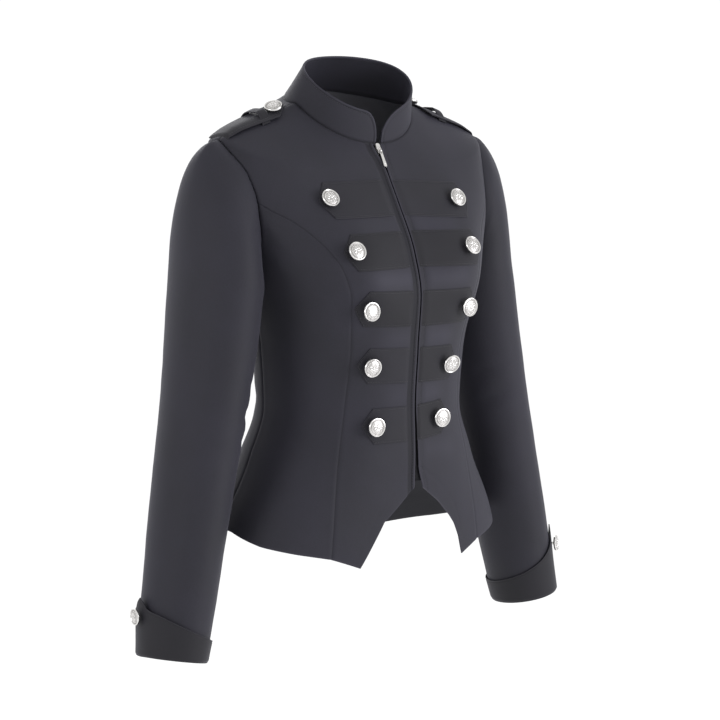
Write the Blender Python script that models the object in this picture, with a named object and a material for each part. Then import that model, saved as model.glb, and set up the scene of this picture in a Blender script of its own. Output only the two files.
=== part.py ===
"""A fitted, military-style blazer, filled out as if worn, with nobody in it.

Metres, +Z up. The front faces -Y and the wearer's left is +X. The origin is between
the shoulders, level with the points where the shoulder seams meet the sleeves.
"""

import math

import bmesh
import bpy
import numpy as np
from mathutils import Matrix, Vector

for old in list(bpy.data.objects):
    bpy.data.objects.remove(old, do_unlink=True)

# ---------------------------------------------------------------- dimensions

CLOTH = 0.0015  # thickness of a body or sleeve panel with its facing
TRIM = 0.0012  # thickness of a band, strap or cuff
SEAM = 0.0003  # half the gap between two panels along a seam
REST = 0.0008  # a band lies this far off the panel under it
TOUCH = 0.0003  # a button or metal part lies this far off what carries it

# The body as level rings, from below the hem to the neck seam.
# level, z at the front, side and back, half width, y at the front and back,
# squareness in front and behind
BODY = [
    (0, -0.520, -0.520, -0.520, 0.203, -0.121, 0.112, 2.25, 2.0),
    (1, -0.445, -0.445, -0.445, 0.189, -0.121, 0.104, 2.25, 2.0),
    (2, -0.365, -0.365, -0.365, 0.149, -0.122, 0.085, 2.25, 2.0),
    (3, -0.300, -0.300, -0.300, 0.1255, -0.121, 0.068, 2.30, 2.0),
    (4, -0.235, -0.235, -0.235, 0.129, -0.125, 0.072, 2.35, 2.0),
    (5, -0.178, -0.180, -0.180, 0.139, -0.129, 0.084, 2.50, 2.1),
    (6, -0.125, -0.140, -0.135, 0.153, -0.117, 0.094, 2.90, 2.2),
    (7, -0.075, -0.085, -0.075, 0.175, -0.092, 0.098, 3.20, 2.4),
    (8, -0.038, -0.002, -0.013, 0.185, -0.072, 0.086, 2.40, 2.2),
    (8.3, -0.032, 0.0075, 0.001, 0.170, -0.069, 0.080, 2.30, 2.2),
    (9, -0.020, 0.0215, 0.030, 0.132, -0.063, 0.070, 2.10, 2.1),
    (10, -0.007, 0.0385, 0.054, 0.0810, -0.056, 0.058, 2.0, 2.0),
]
MIDDLE_Y = -0.005  # the side seams and shoulder seams
BUST_X, BUST_Z, BUST_RISE, BUST_SPREAD = 0.086, -0.145, 0.017, 0.040
SLOPE_FRONT, SLOPE_BACK = 1.1, 1.2  # how the level rings fall away from the shoulder line
UNDERARM, SHOULDER, NECK = 6.0, 8.0, 10.0  # levels

# Seams: level, degrees round from the centre front
FRONT_SEAM = [(0, 49), (1, 46.5), (2, 45), (3, 42), (4, 39), (4.9, 40.3), (5.7, 45),
              (6.1, 49.8), (6.4, 55), (6.75, 62.5), (7.04, 70.5), (7.16, 73.8)]
BACK_SEAM = [(0, 146), (1, 147), (2, 149), (3, 151), (4, 150), (5, 146), (6, 138),
             (6.6, 130), (6.9, 122.5), (7.1, 115), (7.16, 112.6)]
ARM_FRONT = [(6, 90), (6.08, 84.5), (6.25, 78.5), (6.55, 74.6), (6.8, 74.0), (7.1, 74.2),
             (7.25, 74.8), (7.4, 75.9), (7.55, 77.5), (7.68, 79.2), (7.8, 82.4), (7.9, 86), (8, 90)]
ARM_BACK = [(6, 90), (6.08, 97), (6.25, 104), (6.55, 110), (6.9, 113), (7.2, 112.5),
            (7.5, 109), (7.75, 102), (7.9, 96), (8, 90)]
SEAMS_END = 7.15  # level where the front and back seams run into the armholes
# Hem: degrees round from the centre front, z
HEM = [(0, -0.391), (20.4, -0.427), (34.1, -0.477), (47.5, -0.464), (60, -0.457),
       (72, -0.449), (86, -0.434), (94, -0.436), (106, -0.446), (125, -0.464), (150, -0.483), (180, -0.489)]
HEM_POINT = 34.1
# Front edges: level, x of the edge on the wearer's right and left
EDGES = [(0, 0.0003, 0.0120), (1.6, 0.0003, 0.0105), (2.2, 0.0003, 0.0055), (2.8, 0.0003, 0.0030),
         (3.3, 0.0003, 0.0016), (7.8, 0.0003, 0.0012), (8.4, 0.0020, 0.0014), (9.1, 0.0058, 0.0022),
         (10, 0.0085, 0.0034)]
ZIP_X = -0.0015

# Sleeve rings: z, then x, y, half width across and half depth front to back
ARM = {
    "R": [
        (-0.165, 0.1920, -0.006, 0.0465, 0.0650),
        (-0.235, 0.2020, -0.008, 0.0455, 0.0610),
        (-0.300, 0.2135, -0.010, 0.0433, 0.0565),
        (-0.380, 0.2290, -0.012, 0.0415, 0.0525),
        (-0.460, 0.2445, -0.015, 0.0395, 0.0485),
        (-0.530, 0.2578, -0.018, 0.0375, 0.0450),
        (-0.567, 0.2650, -0.020, 0.0360, 0.0425),
    ],
    "L": [
        (-0.165, 0.1890, 0.001, 0.0455, 0.0615),
        (-0.235, 0.1990, -0.003, 0.0450, 0.0595),
        (-0.300, 0.2110, -0.006, 0.0430, 0.0560),
        (-0.380, 0.2275, -0.010, 0.0415, 0.0525),
        (-0.460, 0.2440, -0.015, 0.0395, 0.0485),
        (-0.530, 0.2580, -0.018, 0.0375, 0.0450),
        (-0.560, 0.2645, -0.020, 0.0360, 0.0425),
    ],
}
ARM_TOP = -0.165
# Cuff: degrees away from the point, height of its upper edge above the sleeve's end
CUFF = [(0, 0.068), (8, 0.062), (15, 0.0545), (40, 0.0455), (62, 0.039), (100, 0.030),
        (150, 0.0235), (180, 0.0225)]
CUFF_POINT = {"R": -12.0, "L": 38.0}  # degrees the point sits forward of the outer side

# Collar: its upper edge as a level ring that leans forward
COLLAR_HALF_WIDTH, COLLAR_FRONT, COLLAR_BACK = 0.0725, -0.0609, 0.0180
COLLAR_TOP_FRONT, COLLAR_TOP_SIDE, COLLAR_TOP_BACK = 0.0285, 0.0690, 0.0910
COLLAR_CORNER, COLLAR_CORNER_RISE = 15.0, 0.38

# Bands and buttons: z of the band at the front edge, z of the button and x of the button,
# each on the wearer's right and left
ROWS = [
    (-0.0670, -0.0680, -0.0720, 0.0930, 0.0935),
    (-0.1230, -0.1245, -0.1245, 0.0835, 0.0885),
    (-0.1890, -0.1865, -0.1900, 0.0715, 0.0735),
    (-0.2530, -0.2510, -0.2550, 0.0600, 0.0530),
    (-0.3185, -0.3190, -0.3165, 0.0530, 0.0390),
]
BAND, BAND_POINT, BAND_CHAMFER = 0.040, 0.015, 0.013
BUTTON_RADIUS, CUFF_BUTTON_RADIUS = 0.011, 0.0095

# Epaulettes: x of the sleeve end and the point, half widths there, y of the middle line
# at the sleeve, and how far forward it has run at the point
STRAP_OUT, STRAP_IN, STRAP_WIDE, STRAP_NARROW = 0.1825, 0.090, 0.0185, 0.0170
STRAP_Y, STRAP_TURN, STRAP_LIFT = 0.0035, 0.0055, 0.0024
LOOP_X, LOOP_WIDTH, LOOP_FRONT, LOOP_BACK, LOOP_RISE = 0.130, 0.010, -0.0260, 0.0290, 0.0110
STRAP_BUTTON_X = 0.1045


# ---------------------------------------------------------------- surfaces

def smooth(rows, x, column):
    """A smooth curve through a table's rows, read at x."""
    at = np.array([row[0] for row in rows], float)
    y = np.array([row[column] for row in rows], float)
    if at[0] > at[-1]:
        at, y = at[::-1], y[::-1]
    x = np.clip(np.asarray(x, float), at[0], at[-1])
    steps = np.diff(y) / np.diff(at)
    a, b = steps[:-1], steps[1:]
    between = np.where(a * b > 0, 2 * a * b / np.where(a + b == 0, 1, a + b), 0.0)
    slope = np.concatenate([steps[:1], between, steps[-1:]])
    i = np.clip(np.searchsorted(at, x, side="right") - 1, 0, len(at) - 2)
    h = at[i + 1] - at[i]
    t = (x - at[i]) / h
    return (
        (2 * t**3 - 3 * t**2 + 1) * y[i] + (t**3 - 2 * t**2 + t) * h * slope[i]
        + (3 * t**2 - 2 * t**3) * y[i + 1] + (t**3 - t**2) * h * slope[i + 1]
    )


def fall(share, power):
    """How far a level ring has fallen from the shoulder line: 0 on it, 1 at the middle."""
    round_off = 0.08
    s = (np.hypot(np.minimum(share, 1.0), round_off) - round_off) / (np.hypot(1, round_off) - round_off)
    return s**power


def straight(rows, x, column=1):
    """The straight-line reading of a table at x."""
    at = [row[0] for row in rows]
    return np.interp(x, at, [row[column] for row in rows])


def body(angle, level):
    """The outside of the body: degrees round from the centre front, and level."""
    a, level = np.radians(np.asarray(angle, float)), np.asarray(level, float)
    front, side, back, wide, y0, y1, n0, n1 = (smooth(BODY, level, k) for k in range(1, 9))
    c, s = np.cos(a), np.sin(a)
    n = np.where(c > 0, n0, n1)
    deep = np.where(c > 0, MIDDLE_Y - y0, y1 - MIDDLE_Y)
    r = (np.abs(c / deep) ** n + np.abs(s / wide) ** n) ** (-1 / n)
    x = r * s
    share = np.abs(r * c) / deep
    z = side + np.where(c > 0, (front - side) * fall(share, SLOPE_FRONT), (back - side) * fall(share, SLOPE_BACK))
    bust = BUST_RISE * np.exp(-((np.abs(x) - BUST_X) ** 2 + (z - BUST_Z) ** 2) / (2 * BUST_SPREAD**2))
    y = MIDDLE_Y - r * c - np.where(c > 0, bust * c, 0)
    return np.stack([x, y, z], -1)


def normals(surface, u, v, du=0.05, dv=0.002):
    """Unit normals of a surface that point away from the garment's inside."""
    across = surface(u + du, v) - surface(u - du, v)
    along = surface(u, v + dv) - surface(u, v - dv)
    n = np.cross(across, along)
    return n / np.maximum(np.linalg.norm(n, axis=-1, keepdims=True), 1e-12)


def off_body(angle, level, away):
    """The body's surface, moved out along its normal."""
    angle, level = np.broadcast_arrays(np.asarray(angle, float), np.asarray(level, float))
    n = normals(body, angle, np.clip(level, 0.01, 9.99))
    return body(angle, level) + n * np.asarray(away, float)[..., None]


def find(axes, target, angle, level):
    """The (degrees, level) on the body whose coordinates along two axes are the target's."""
    angle, level = np.array(angle, float), np.array(level, float)
    axes = list(axes)
    for _ in range(30):
        here = body(angle, level)[..., axes]
        da = (body(angle + 0.1, level)[..., axes] - here) / 0.1
        dl = (body(angle, level + 0.01)[..., axes] - here) / 0.01
        miss = target - here
        det = da[..., 0] * dl[..., 1] - da[..., 1] * dl[..., 0]
        det = np.where(np.abs(det) < 1e-12, 1e-12, det)
        angle += np.clip((miss[..., 0] * dl[..., 1] - miss[..., 1] * dl[..., 0]) / det, -6, 6)
        level += np.clip((da[..., 0] * miss[..., 1] - da[..., 1] * miss[..., 0]) / det, -0.4, 0.4)
        level = np.clip(level, 0.0, 10.0)
    return angle, level


def hem_level(angle):
    """The level of the hem, which is where the body is at the hem's height."""
    z = straight(HEM, np.abs(angle))
    levels = np.linspace(0, 2, 41)
    heights = smooth(BODY, levels, 2)
    return np.interp(z, heights, levels)


# ---------------------------------------------------------------- meshes

def material(name, colour, roughness, metallic=0.0):
    m = bpy.data.materials.new(name)
    m.use_nodes = True
    m.diffuse_color = (*colour, 1)
    shader = m.node_tree.nodes["Principled BSDF"]
    shader.inputs["Base Color"].default_value = (*colour, 1)
    shader.inputs["Roughness"].default_value = roughness
    shader.inputs["Metallic"].default_value = metallic
    return m


GABARDINE = material("slate_gabardine", (0.034, 0.035, 0.043), 0.72)
TAPE = material("black_zip_tape", (0.012, 0.012, 0.014), 0.65)
SILVER = material("antique_silver", (0.72, 0.71, 0.69), 0.32, 1.0)


def new_object(name, bm, look, smooth_under=50.0):
    bmesh.ops.recalc_face_normals(bm, faces=bm.faces)
    mesh = bpy.data.meshes.new(name)
    bm.to_mesh(mesh)
    bm.free()
    mesh.materials.append(look)
    mesh.shade_smooth()
    mesh.set_sharp_from_angle(angle=math.radians(smooth_under))
    o = bpy.data.objects.new(name, mesh)
    bpy.context.scene.collection.objects.link(o)
    return o


def wall(name, outer, inner, look, ring=False):
    """A closed wall between two grids of points of the same size."""
    bm = bmesh.new()
    rows, columns = outer.shape[:2]
    a, b = ([[bm.verts.new(p) for p in row] for row in grid.tolist()] for grid in (outer, inner))
    last = columns if ring else columns - 1
    for i in range(rows - 1):
        for j in range(last):
            k = (j + 1) % columns
            bm.faces.new((a[i][j], a[i][k], a[i + 1][k], a[i + 1][j]))
            bm.faces.new((b[i][j], b[i + 1][j], b[i + 1][k], b[i][k]))
    for j in range(last):
        k = (j + 1) % columns
        bm.faces.new((a[0][j], b[0][j], b[0][k], a[0][k]))
        bm.faces.new((a[-1][j], a[-1][k], b[-1][k], b[-1][j]))
    if not ring:
        for i in range(rows - 1):
            bm.faces.new((a[i][0], a[i + 1][0], b[i + 1][0], b[i][0]))
            bm.faces.new((a[i][-1], b[i][-1], b[i + 1][-1], a[i + 1][-1]))
    return new_object(name, bm, look)


# ---------------------------------------------------------------- body panels

def turn(level):
    """Degrees round the body for one metre of seam gap at this level."""
    around = np.linalg.norm(body(61.0, level) - body(60.0, level), axis=-1)
    return 1.0 / around


def edge_angle(level, side):
    """Where the front edge runs, in degrees."""
    x = smooth(EDGES, level, 1 if side < 0 else 2)
    deep = MIDDLE_Y - smooth(BODY, level, 5)
    return np.degrees(np.arctan2(x, deep))


def front_edge(level, side):
    return edge_angle(level, side)


def outline(level):
    """The outer edge of the front above the seam: the armhole, then the shoulder seam."""
    return np.where(level > SHOULDER, 90.0, smooth(ARM_FRONT, level, 1))


def panel(name, side, inner_edge, outer_edge, levels, shares, top=None):
    """A body panel between two seams, from the hem up. side is -1 or +1, or 0 across the back."""
    levels, shares = np.asarray(levels, float), np.asarray(shares, float)
    grid_a, grid_v = [], []
    hem_a = inner_edge(1.0) + (outer_edge(1.0) - inner_edge(1.0)) * shares
    start = hem_level(hem_a)
    for k in range(5):
        v = start + (2.0 - start) * (k / 5)
        grid_v.append(v)
        grid_a.append(inner_edge(v) + (outer_edge(v) - inner_edge(v)) * shares)
    for v in levels:
        grid_v.append(np.full(len(shares), v))
        grid_a.append(inner_edge(v) + (outer_edge(v) - inner_edge(v)) * shares)
    a, v = np.array(grid_a), np.array(grid_v)
    if side:
        a = a * side
    return wall(name, off_body(a, v, 0.0 * a), off_body(a, v, -CLOTH + 0 * a), GABARDINE)


def seam_gap(curve, sign):
    """A seam's curve, moved half the seam gap to one side."""
    return lambda v: curve(v) + sign * SEAM * turn(np.minimum(v, 7.9))


def front_seam(v):
    return smooth(FRONT_SEAM, v, 1)


def back_seam(v):
    return smooth(BACK_SEAM, v, 1)


def front_outer(v):
    """The side edge of a centre front: seam, then armhole, then shoulder seam."""
    v = np.asarray(v, float)
    return np.where(v < SEAMS_END, smooth(FRONT_SEAM, np.minimum(v, SEAMS_END), 1), outline(v))


def back_outer(v):
    v = np.asarray(v, float)
    up = np.where(v > SHOULDER, 90.0, smooth(ARM_BACK, v, 1))
    return np.where(v < SEAMS_END, smooth(BACK_SEAM, np.minimum(v, SEAMS_END), 1), up)


def arm_or_side(table):
    """A side edge: the side seam at 90 degrees up to the underarm, then the armhole."""
    return lambda v: np.where(np.asarray(v) < UNDERARM, 90.0, smooth(table, v, 1))


SIDE_LEVELS = [2, 2.35, 2.65, 2.9, 3.15, 3.4, 3.65, 3.9, 4.15, 4.4, 4.65, 4.9, 5.15, 5.4, 5.6, 5.8]
ARM_LEVELS = [6, 6.1, 6.3, 6.6, 6.9, 7.1, 7.15, 7.4, 7.65, 7.85, 8]
LEVELS = SIDE_LEVELS + ARM_LEVELS + [8.2, 8.4, 8.6, 8.8, 9.05, 9.35, 9.65, 9.985]
LOWER = SIDE_LEVELS + ARM_LEVELS[:6]

tip_share = (HEM_POINT - 2.2) / (46.5 - 2.2)
for side, tag in ((-1, "R"), (1, "L")):
    shares = [0, 0.13, 0.27, 0.42, 0.57, tip_share, 0.84, 0.93, 1]
    panel(f"centre_front_{tag}", side, lambda v, s=side: front_edge(v, s),
          seam_gap(front_outer, -1), LEVELS, shares)
    panel(f"side_front_{tag}", side, seam_gap(front_seam, 1),
          seam_gap(arm_or_side(ARM_FRONT), -1), LOWER, np.linspace(0, 1, 5))
    panel(f"side_back_{tag}", side, seam_gap(arm_or_side(ARM_BACK), 1),
          seam_gap(back_seam, -1), LOWER, np.linspace(0, 1, 5))
panel("back", 0, seam_gap(back_outer, 1), lambda v: 360.0 - seam_gap(back_outer, 1)(v),
      LEVELS, [0, 0.035, 0.08, 0.15, 0.25, 0.37, 0.5, 0.63, 0.75, 0.85, 0.92, 0.965, 1])


# ---------------------------------------------------------------- zip

def on_front(x, z):
    """(degrees, level) of the body's front at x and z."""
    x, z = np.broadcast_arrays(np.asarray(x, float), np.asarray(z, float))
    heights = smooth(BODY, np.linspace(0, 10, 201), 1)
    level = np.interp(z, heights, np.linspace(0, 10, 201))
    return find((0, 2), np.stack([x, z], -1), np.degrees(np.arctan2(x, 0.11)), level)


def strip(name, x0, x1, z0, z1, away, thick, look, columns=2, rows=30):
    x, z = np.meshgrid(np.linspace(x0, x1, columns), np.linspace(z0, z1, rows))
    a, v = on_front(x, z)
    return wall(name, off_body(a, v, away + 0 * a), off_body(a, v, away - thick + 0 * a), look)


UNDER = -CLOTH - 0.0009  # the zip's tapes are sewn to the inside of the fronts
strip("zip_tape_R", ZIP_X - 0.0150, ZIP_X - 0.0002, -0.386, -0.0085, UNDER, 0.0012, TAPE, columns=4)
strip("zip_tape_L", ZIP_X + 0.0002, ZIP_X + 0.0150, -0.386, -0.0085, UNDER, 0.0012, TAPE, columns=4)


def zip_frame():
    """Where the slider's upper end lies on the front, and the ways down and out from it."""
    x = np.array([ZIP_X, ZIP_X])
    a, v = on_front(x, np.array([SLIDER_TOP, SLIDER_TOP - 0.012]))
    top, below = body(a, v)
    down = Vector((0.0, below[1] - top[1], below[2] - top[2])).normalized()
    out = Vector((0.0, down.z, -down.y))
    return Vector(top), down, (out if out.y < 0 else -out)


def zip_part(name, outer, inner, across, look):
    """A ring-shaped metal part: outlines as (down, out) or (x, down) pairs in millimetres."""
    rows = [[(x, u, w) for u, w in outline] for outline in (outer, inner) for x in across]
    grid = np.array(rows, float).reshape(2, len(across), -1, 3) / 1000
    return wall(name, grid[0], grid[1], look, ring=True)


SLIDER_TOP = -0.0095
origin, down, out = zip_frame()
frame = Matrix((Vector((1, 0, 0)), down, out)).transposed().to_4x4()
if frame.determinant() < 0:
    frame = frame @ Matrix.Diagonal((-1, 1, 1, 1))

# The slider: a small block with a bridge over it that the pull hangs from
block = [(0, -2.0), (0.8, -2.05), (9.2, -2.05), (10, -1.6), (10, 0.1), (9.2, 0.6), (0.8, 0.6), (0, 0.1)]
bm = bmesh.new()
ends = [[bm.verts.new((x * taper / 1000, u / 1000, w / 1000)) for u, w in block]
        for x, taper in ((-3.0, 1), (3.0, 1))]
bm.faces.new(ends[0])
bm.faces.new(ends[1])
for i in range(len(block)):
    k = (i + 1) % len(block)
    bm.faces.new((ends[0][i], ends[0][k], ends[1][k], ends[1][i]))
slider = new_object("zip_slider", bm, SILVER, 35)
arch_out = [(2.5, 0.2), (2.5, 2.6), (3.3, 3.4), (8.2, 3.4), (9.0, 2.6), (9.0, 0.2)]
arch_in = [(3.3, 0.3), (3.3, 2.3), (3.7, 2.6), (7.8, 2.6), (8.2, 2.3), (8.2, 0.3)]
bridge = zip_part("zip_bridge", arch_out, arch_in, (-0.9, 0.9), SILVER)
bridge.hide_render = True
bridge.display_type = "WIRE"
for part in (slider, bridge):
    part.matrix_world = Matrix.Translation(origin + Vector((ZIP_X, 0, 0)) * 0) @ frame
join = slider.modifiers.new("bridge", "BOOLEAN")
join.operation, join.solver, join.object = "UNION", "EXACT", bridge

# The pull: a plate whose eye goes round the bridge, with its origin on the hinge line
HINGE_DOWN, HINGE_OUT = 7.2, 1.6
plate = [(-1.5, 6.7), (1.5, 6.7), (2.1, 7.3), (2.4, 15), (2.4, 20.6), (1.6, 22), (-1.6, 22),
         (-2.4, 20.6), (-2.4, 15), (-2.1, 7.3)]
eye = [(-0.9, 7.7), (0.9, 7.7), (1.25, 8.0), (1.25, 9), (1.25, 9.9), (0.9, 10.2), (-0.9, 10.2),
       (-1.25, 9.9), (-1.25, 9), (-1.25, 8.0)]
grids = [np.array([[(x, u - HINGE_DOWN, w) for x, u in outline] for w in (-0.5, 0.5)]) / 1000
         for outline in (plate, eye)]
pull = wall("zip_pull", grids[0], grids[1], SILVER, ring=True)
hinge = origin + down * (HINGE_DOWN / 1000) + out * (HINGE_OUT / 1000)
pull.matrix_world = Matrix.Translation(hinge) @ frame
print("hinge line through", [round(c, 5) for c in hinge], "plate runs", [round(c, 4) for c in down])


# ---------------------------------------------------------------- bands and buttons

def button(name, place, normal, radius, away):
    """A domed shank button with a raised rim, set on the cloth along its normal."""
    n = Vector(normal).normalized()
    profile = [(0.0, 0.0), (0.34, 0.0), (0.34, 0.16), (0.72, 0.20), (0.97, 0.30), (1.0, 0.42),
               (0.94, 0.50), (0.80, 0.50), (0.55, 0.60), (0.25, 0.66), (0.0, 0.67)]
    bm = bmesh.new()
    loop = [bm.verts.new((radius * r, 0, radius * h)) for r, h in profile]
    edges = [bm.edges.new(pair) for pair in zip(loop, loop[1:])]
    bmesh.ops.spin(bm, geom=loop + edges, cent=(0, 0, 0), axis=(0, 0, 1),
                   angle=2 * math.pi, steps=16, use_duplicate=False)
    bmesh.ops.remove_doubles(bm, verts=bm.verts, dist=1e-6)
    o = new_object(name, bm, SILVER, 35)
    o.rotation_euler = n.to_track_quat("Z", "X").to_euler()
    o.location = Vector(place) + n * away
    return o


def seat(side, row):
    """z and x of a front button."""
    return (ROWS[row][1], ROWS[row][3]) if side < 0 else (ROWS[row][2], ROWS[row][4])


def band(name, side, row):
    z_edge = ROWS[row][0]
    z_button, x_button = seat(side, row)
    start = (0.0115 if side < 0 else 0.0045)
    out = np.array([0, 0.13, 0.26, 0.39, 0.52, 0.64, 0.76, 0.88, 1.0])
    high = np.array([-0.5, -0.25, 0.0, 0.25, 0.5]) * BAND
    end = x_button + BAND_POINT - BAND_CHAMFER * (np.abs(high) / (BAND / 2)) ** 1.15
    x = start + (end[:, None] - start) * out[None, :]
    z = z_edge + (z_button - z_edge) * x / x_button + high[:, None]
    a, v = on_front(side * x, z)
    return wall(name, off_body(a, v, REST + TRIM + 0 * a), off_body(a, v, REST + 0 * a), GABARDINE)


for side, tag in ((-1, "R"), (1, "L")):
    for row in range(5):
        band(f"band_{tag}{row + 1}", side, row)
        z, x = seat(side, row)
        a, v = on_front(side * x, z)
        button(f"button_{tag}{row + 1}", body(a, v), normals(body, a, v), BUTTON_RADIUS,
               REST + TRIM + TOUCH)


# ---------------------------------------------------------------- collar

def collar(angle, share):
    """The stand collar: degrees round, and share of the way up."""
    a = np.radians(angle)
    c, s = np.cos(a), np.sin(a)
    foot = body(angle, np.full_like(a, NECK))
    middle = (COLLAR_FRONT + COLLAR_BACK) / 2
    deep = (COLLAR_BACK - COLLAR_FRONT) / 2
    r = 1 / np.hypot(c / deep, s / COLLAR_HALF_WIDTH)
    share_in = np.abs(r * c) / deep
    z = COLLAR_TOP_SIDE + np.where(
        c > 0, (COLLAR_TOP_FRONT - COLLAR_TOP_SIDE) * fall(share_in, SLOPE_FRONT),
        (COLLAR_TOP_BACK - COLLAR_TOP_SIDE) * fall(share_in, SLOPE_BACK))
    top = np.stack([r * s, middle - r * c, z], -1)
    return foot + (top - foot) * np.asarray(share, float)[..., None]


def collar_wall():
    first = np.degrees(math.atan2(0.004, MIDDLE_Y - BODY[-1][5]))
    ends = first + COLLAR_CORNER * np.array([0, 0.04, 0.12, 0.25, 0.45, 0.7, 1.0])
    round_back = np.linspace(first + COLLAR_CORNER, 360 - first - COLLAR_CORNER, 31)
    angle = np.concatenate([ends, round_back[1:-1], 360 - ends[::-1]])
    in_from_end = np.minimum(angle, 360 - angle) - first
    t = np.clip(in_from_end / COLLAR_CORNER, 0, 1)
    full = COLLAR_CORNER_RISE + (1 - COLLAR_CORNER_RISE) * np.sqrt(np.clip(1 - (1 - t) ** 2.2, 0, 1))
    share = 0.012 + (full[None, :] - 0.012) * np.linspace(0, 1, 4)[:, None]
    a = np.broadcast_to(angle, share.shape)
    n = normals(collar, a, share, dv=0.01)
    p = collar(a, share)
    return wall("collar", p + n * 0.0009, p - n * 0.0011, GABARDINE)


collar_wall()


# ---------------------------------------------------------------- sleeves and cuffs

def arm_centre(tag, z):
    return np.stack([smooth(ARM[tag], z, 1), smooth(ARM[tag], z, 2), np.asarray(z, float)], -1)


def arm_ring(tag, turned, z, extra=0.0):
    """A sleeve ring, square to the arm. 0 degrees is next to the body and 90 is in front."""
    t = np.radians(turned)
    end = ARM[tag][-1][0]
    run = arm_centre(tag, np.clip(z + 0.01, end, ARM_TOP)) - arm_centre(tag, np.clip(z - 0.01, end, ARM_TOP))
    run /= np.linalg.norm(run, axis=-1, keepdims=True)
    across = np.array([1.0, 0, 0]) - run * run[..., :1]
    across /= np.linalg.norm(across, axis=-1, keepdims=True)
    deep = np.cross(run, across)
    wide, long = smooth(ARM[tag], z, 3) + extra, smooth(ARM[tag], z, 4) + extra
    return (arm_centre(tag, z) - across * (wide * np.cos(t))[..., None]
            - deep * (long * np.sin(t))[..., None])


def armhole(turned):
    """The armhole, read round in the same degrees as the sleeve's rings, one seam gap out."""
    t = np.radians(turned)
    level = 7.0 - np.cos(t)
    front = np.sin(t) >= 0
    angle = np.where(front, smooth(ARM_FRONT, level, 1), smooth(ARM_BACK, level, 1))
    shift = np.where(front, 1.0, -1.0) * np.abs(np.sin(t)) * 0.0007 * turn(np.minimum(level, 7.9))
    p = body(angle + shift, level)
    p[..., 2] -= 0.0008 * np.clip(np.cos(t), 0, 1)
    p[..., 0] += 0.0008 * np.clip(-np.cos(t), 0, 1)
    return p


def crown(tag, turned, share):
    """The top of a sleeve, from the armhole out over the shoulder to its first full ring."""
    t = np.radians(turned)
    start, end = armhole(turned), arm_ring(tag, turned, np.full_like(t, ARM_TOP))
    top = 0.5 - 0.5 * np.cos(t)  # 0 under the arm, 1 on the shoulder
    reach = np.linalg.norm(end - start, axis=-1)
    out = np.stack([0.25 + 0.75 * top, -0.30 * np.sin(t), -0.75 + 0.72 * top], -1)
    out /= np.linalg.norm(out, axis=-1, keepdims=True)
    out *= (reach * (0.70 + 0.18 * top))[..., None]
    down = arm_ring(tag, turned, np.full_like(t, ARM_TOP - 0.01)) - end
    down *= (reach * 1.0 / 0.01)[..., None]
    s = np.asarray(share, float)[..., None]
    return ((2 * s**3 - 3 * s**2 + 1) * start + (s**3 - 2 * s**2 + s) * out
            + (3 * s**2 - 2 * s**3) * end + (s**3 - s**2) * down)


def sleeve_point(tag, turned, run):
    """A sleeve: run is 0 at the armhole, 1 at the first full ring and 2 at its end."""
    low = arm_ring(tag, turned, ARM_TOP + (ARM[tag][-1][0] - ARM_TOP) * np.clip(run - 1, 0, 1))
    high = crown(tag, turned, np.clip(run, 0, 1))
    return np.where((run < 1)[..., None], high, low)


def mirrored(points, side):
    return points * np.array([side, 1.0, 1.0])


def grid_normals(p):
    """Normals of a closed ring grid of points, pointing away from its middle."""
    across = np.roll(p, -1, axis=1) - np.roll(p, 1, axis=1)
    along = np.gradient(p, axis=0)
    n = np.cross(across, along)
    n /= np.maximum(np.linalg.norm(n, axis=-1, keepdims=True), 1e-12)
    outward = p - p.mean(axis=1, keepdims=True)
    flip = np.sign((n[-1] * outward[-1]).sum())
    return n * flip


def sleeve(name, side, tag):
    front = np.degrees(np.arccos(7.0 - np.array(ARM_LEVELS)))
    turned = np.concatenate([front, 360 - front[-2:0:-1]])
    runs = np.concatenate([[0, 0.1, 0.24, 0.4, 0.58, 0.78], np.linspace(1, 2, 12)])
    t, r = np.meshgrid(turned, runs)
    p = sleeve_point(tag, t, r)
    n = grid_normals(p)
    return wall(name, mirrored(p, side), mirrored(p - n * CLOTH, side), GABARDINE, ring=True)


def cuff(name, side, tag):
    """A turned-back cuff whose upper edge rises to a point on the outer side."""
    point = 180 - CUFF_POINT[tag]
    away = np.array([-172, -150, -125, -100, -80, -62, -48, -34, -22, -13, -6, 0,
                     6, 13, 22, 34, 48, 62, 80, 100, 125, 150, 172.0])
    turned = (point + away) % 360
    height = smooth(CUFF, np.abs(away), 1)
    share = np.array([-0.02, 0.3, 0.65, 1.0])[:, None]
    up = share * height[None, :]
    t = np.broadcast_to(turned, up.shape)
    flare = 0.0011 + 0.0040 * np.clip(height / 0.068, 0, 1)[None, :] ** 2 * np.clip(share, 0, 1) ** 1.5
    z = ARM[tag][-1][0] + up
    inner = arm_ring(tag, t, z, flare)
    outer = arm_ring(tag, t, z, flare + TRIM)
    return wall(name, mirrored(outer, side), mirrored(inner, side), GABARDINE, ring=True)


for side, tag in ((-1, "R"), (1, "L")):
    sleeve(f"sleeve_{tag}", side, tag)
    cuff(f"cuff_{tag}", side, tag)
    at = np.array([180.0 - CUFF_POINT[tag]])
    z = np.array([ARM[tag][-1][0] + 0.047])
    place = arm_ring(tag, at, z, 0.0011 + 0.0040 * (0.047 / 0.068) ** 1.5 + TRIM)[0]
    out = place - arm_ring(tag, at, z, -0.01)[0]
    button(f"cuff_button_{tag}", mirrored(place, side), mirrored(out, side), CUFF_BUTTON_RADIUS, 0.0006)


# ---------------------------------------------------------------- epaulettes

def on_top(x, y):
    """(degrees, level) of the top of a shoulder at x and y."""
    x, y = np.broadcast_arrays(np.asarray(x, float), np.asarray(y, float))
    level = 10 - 2 * (np.abs(x) - 0.083) / 0.102
    return find((0, 1), np.stack([x, y], -1), 90.0 + (y - MIDDLE_Y) * 300, np.clip(level, 7.5, 9.9))


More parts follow.
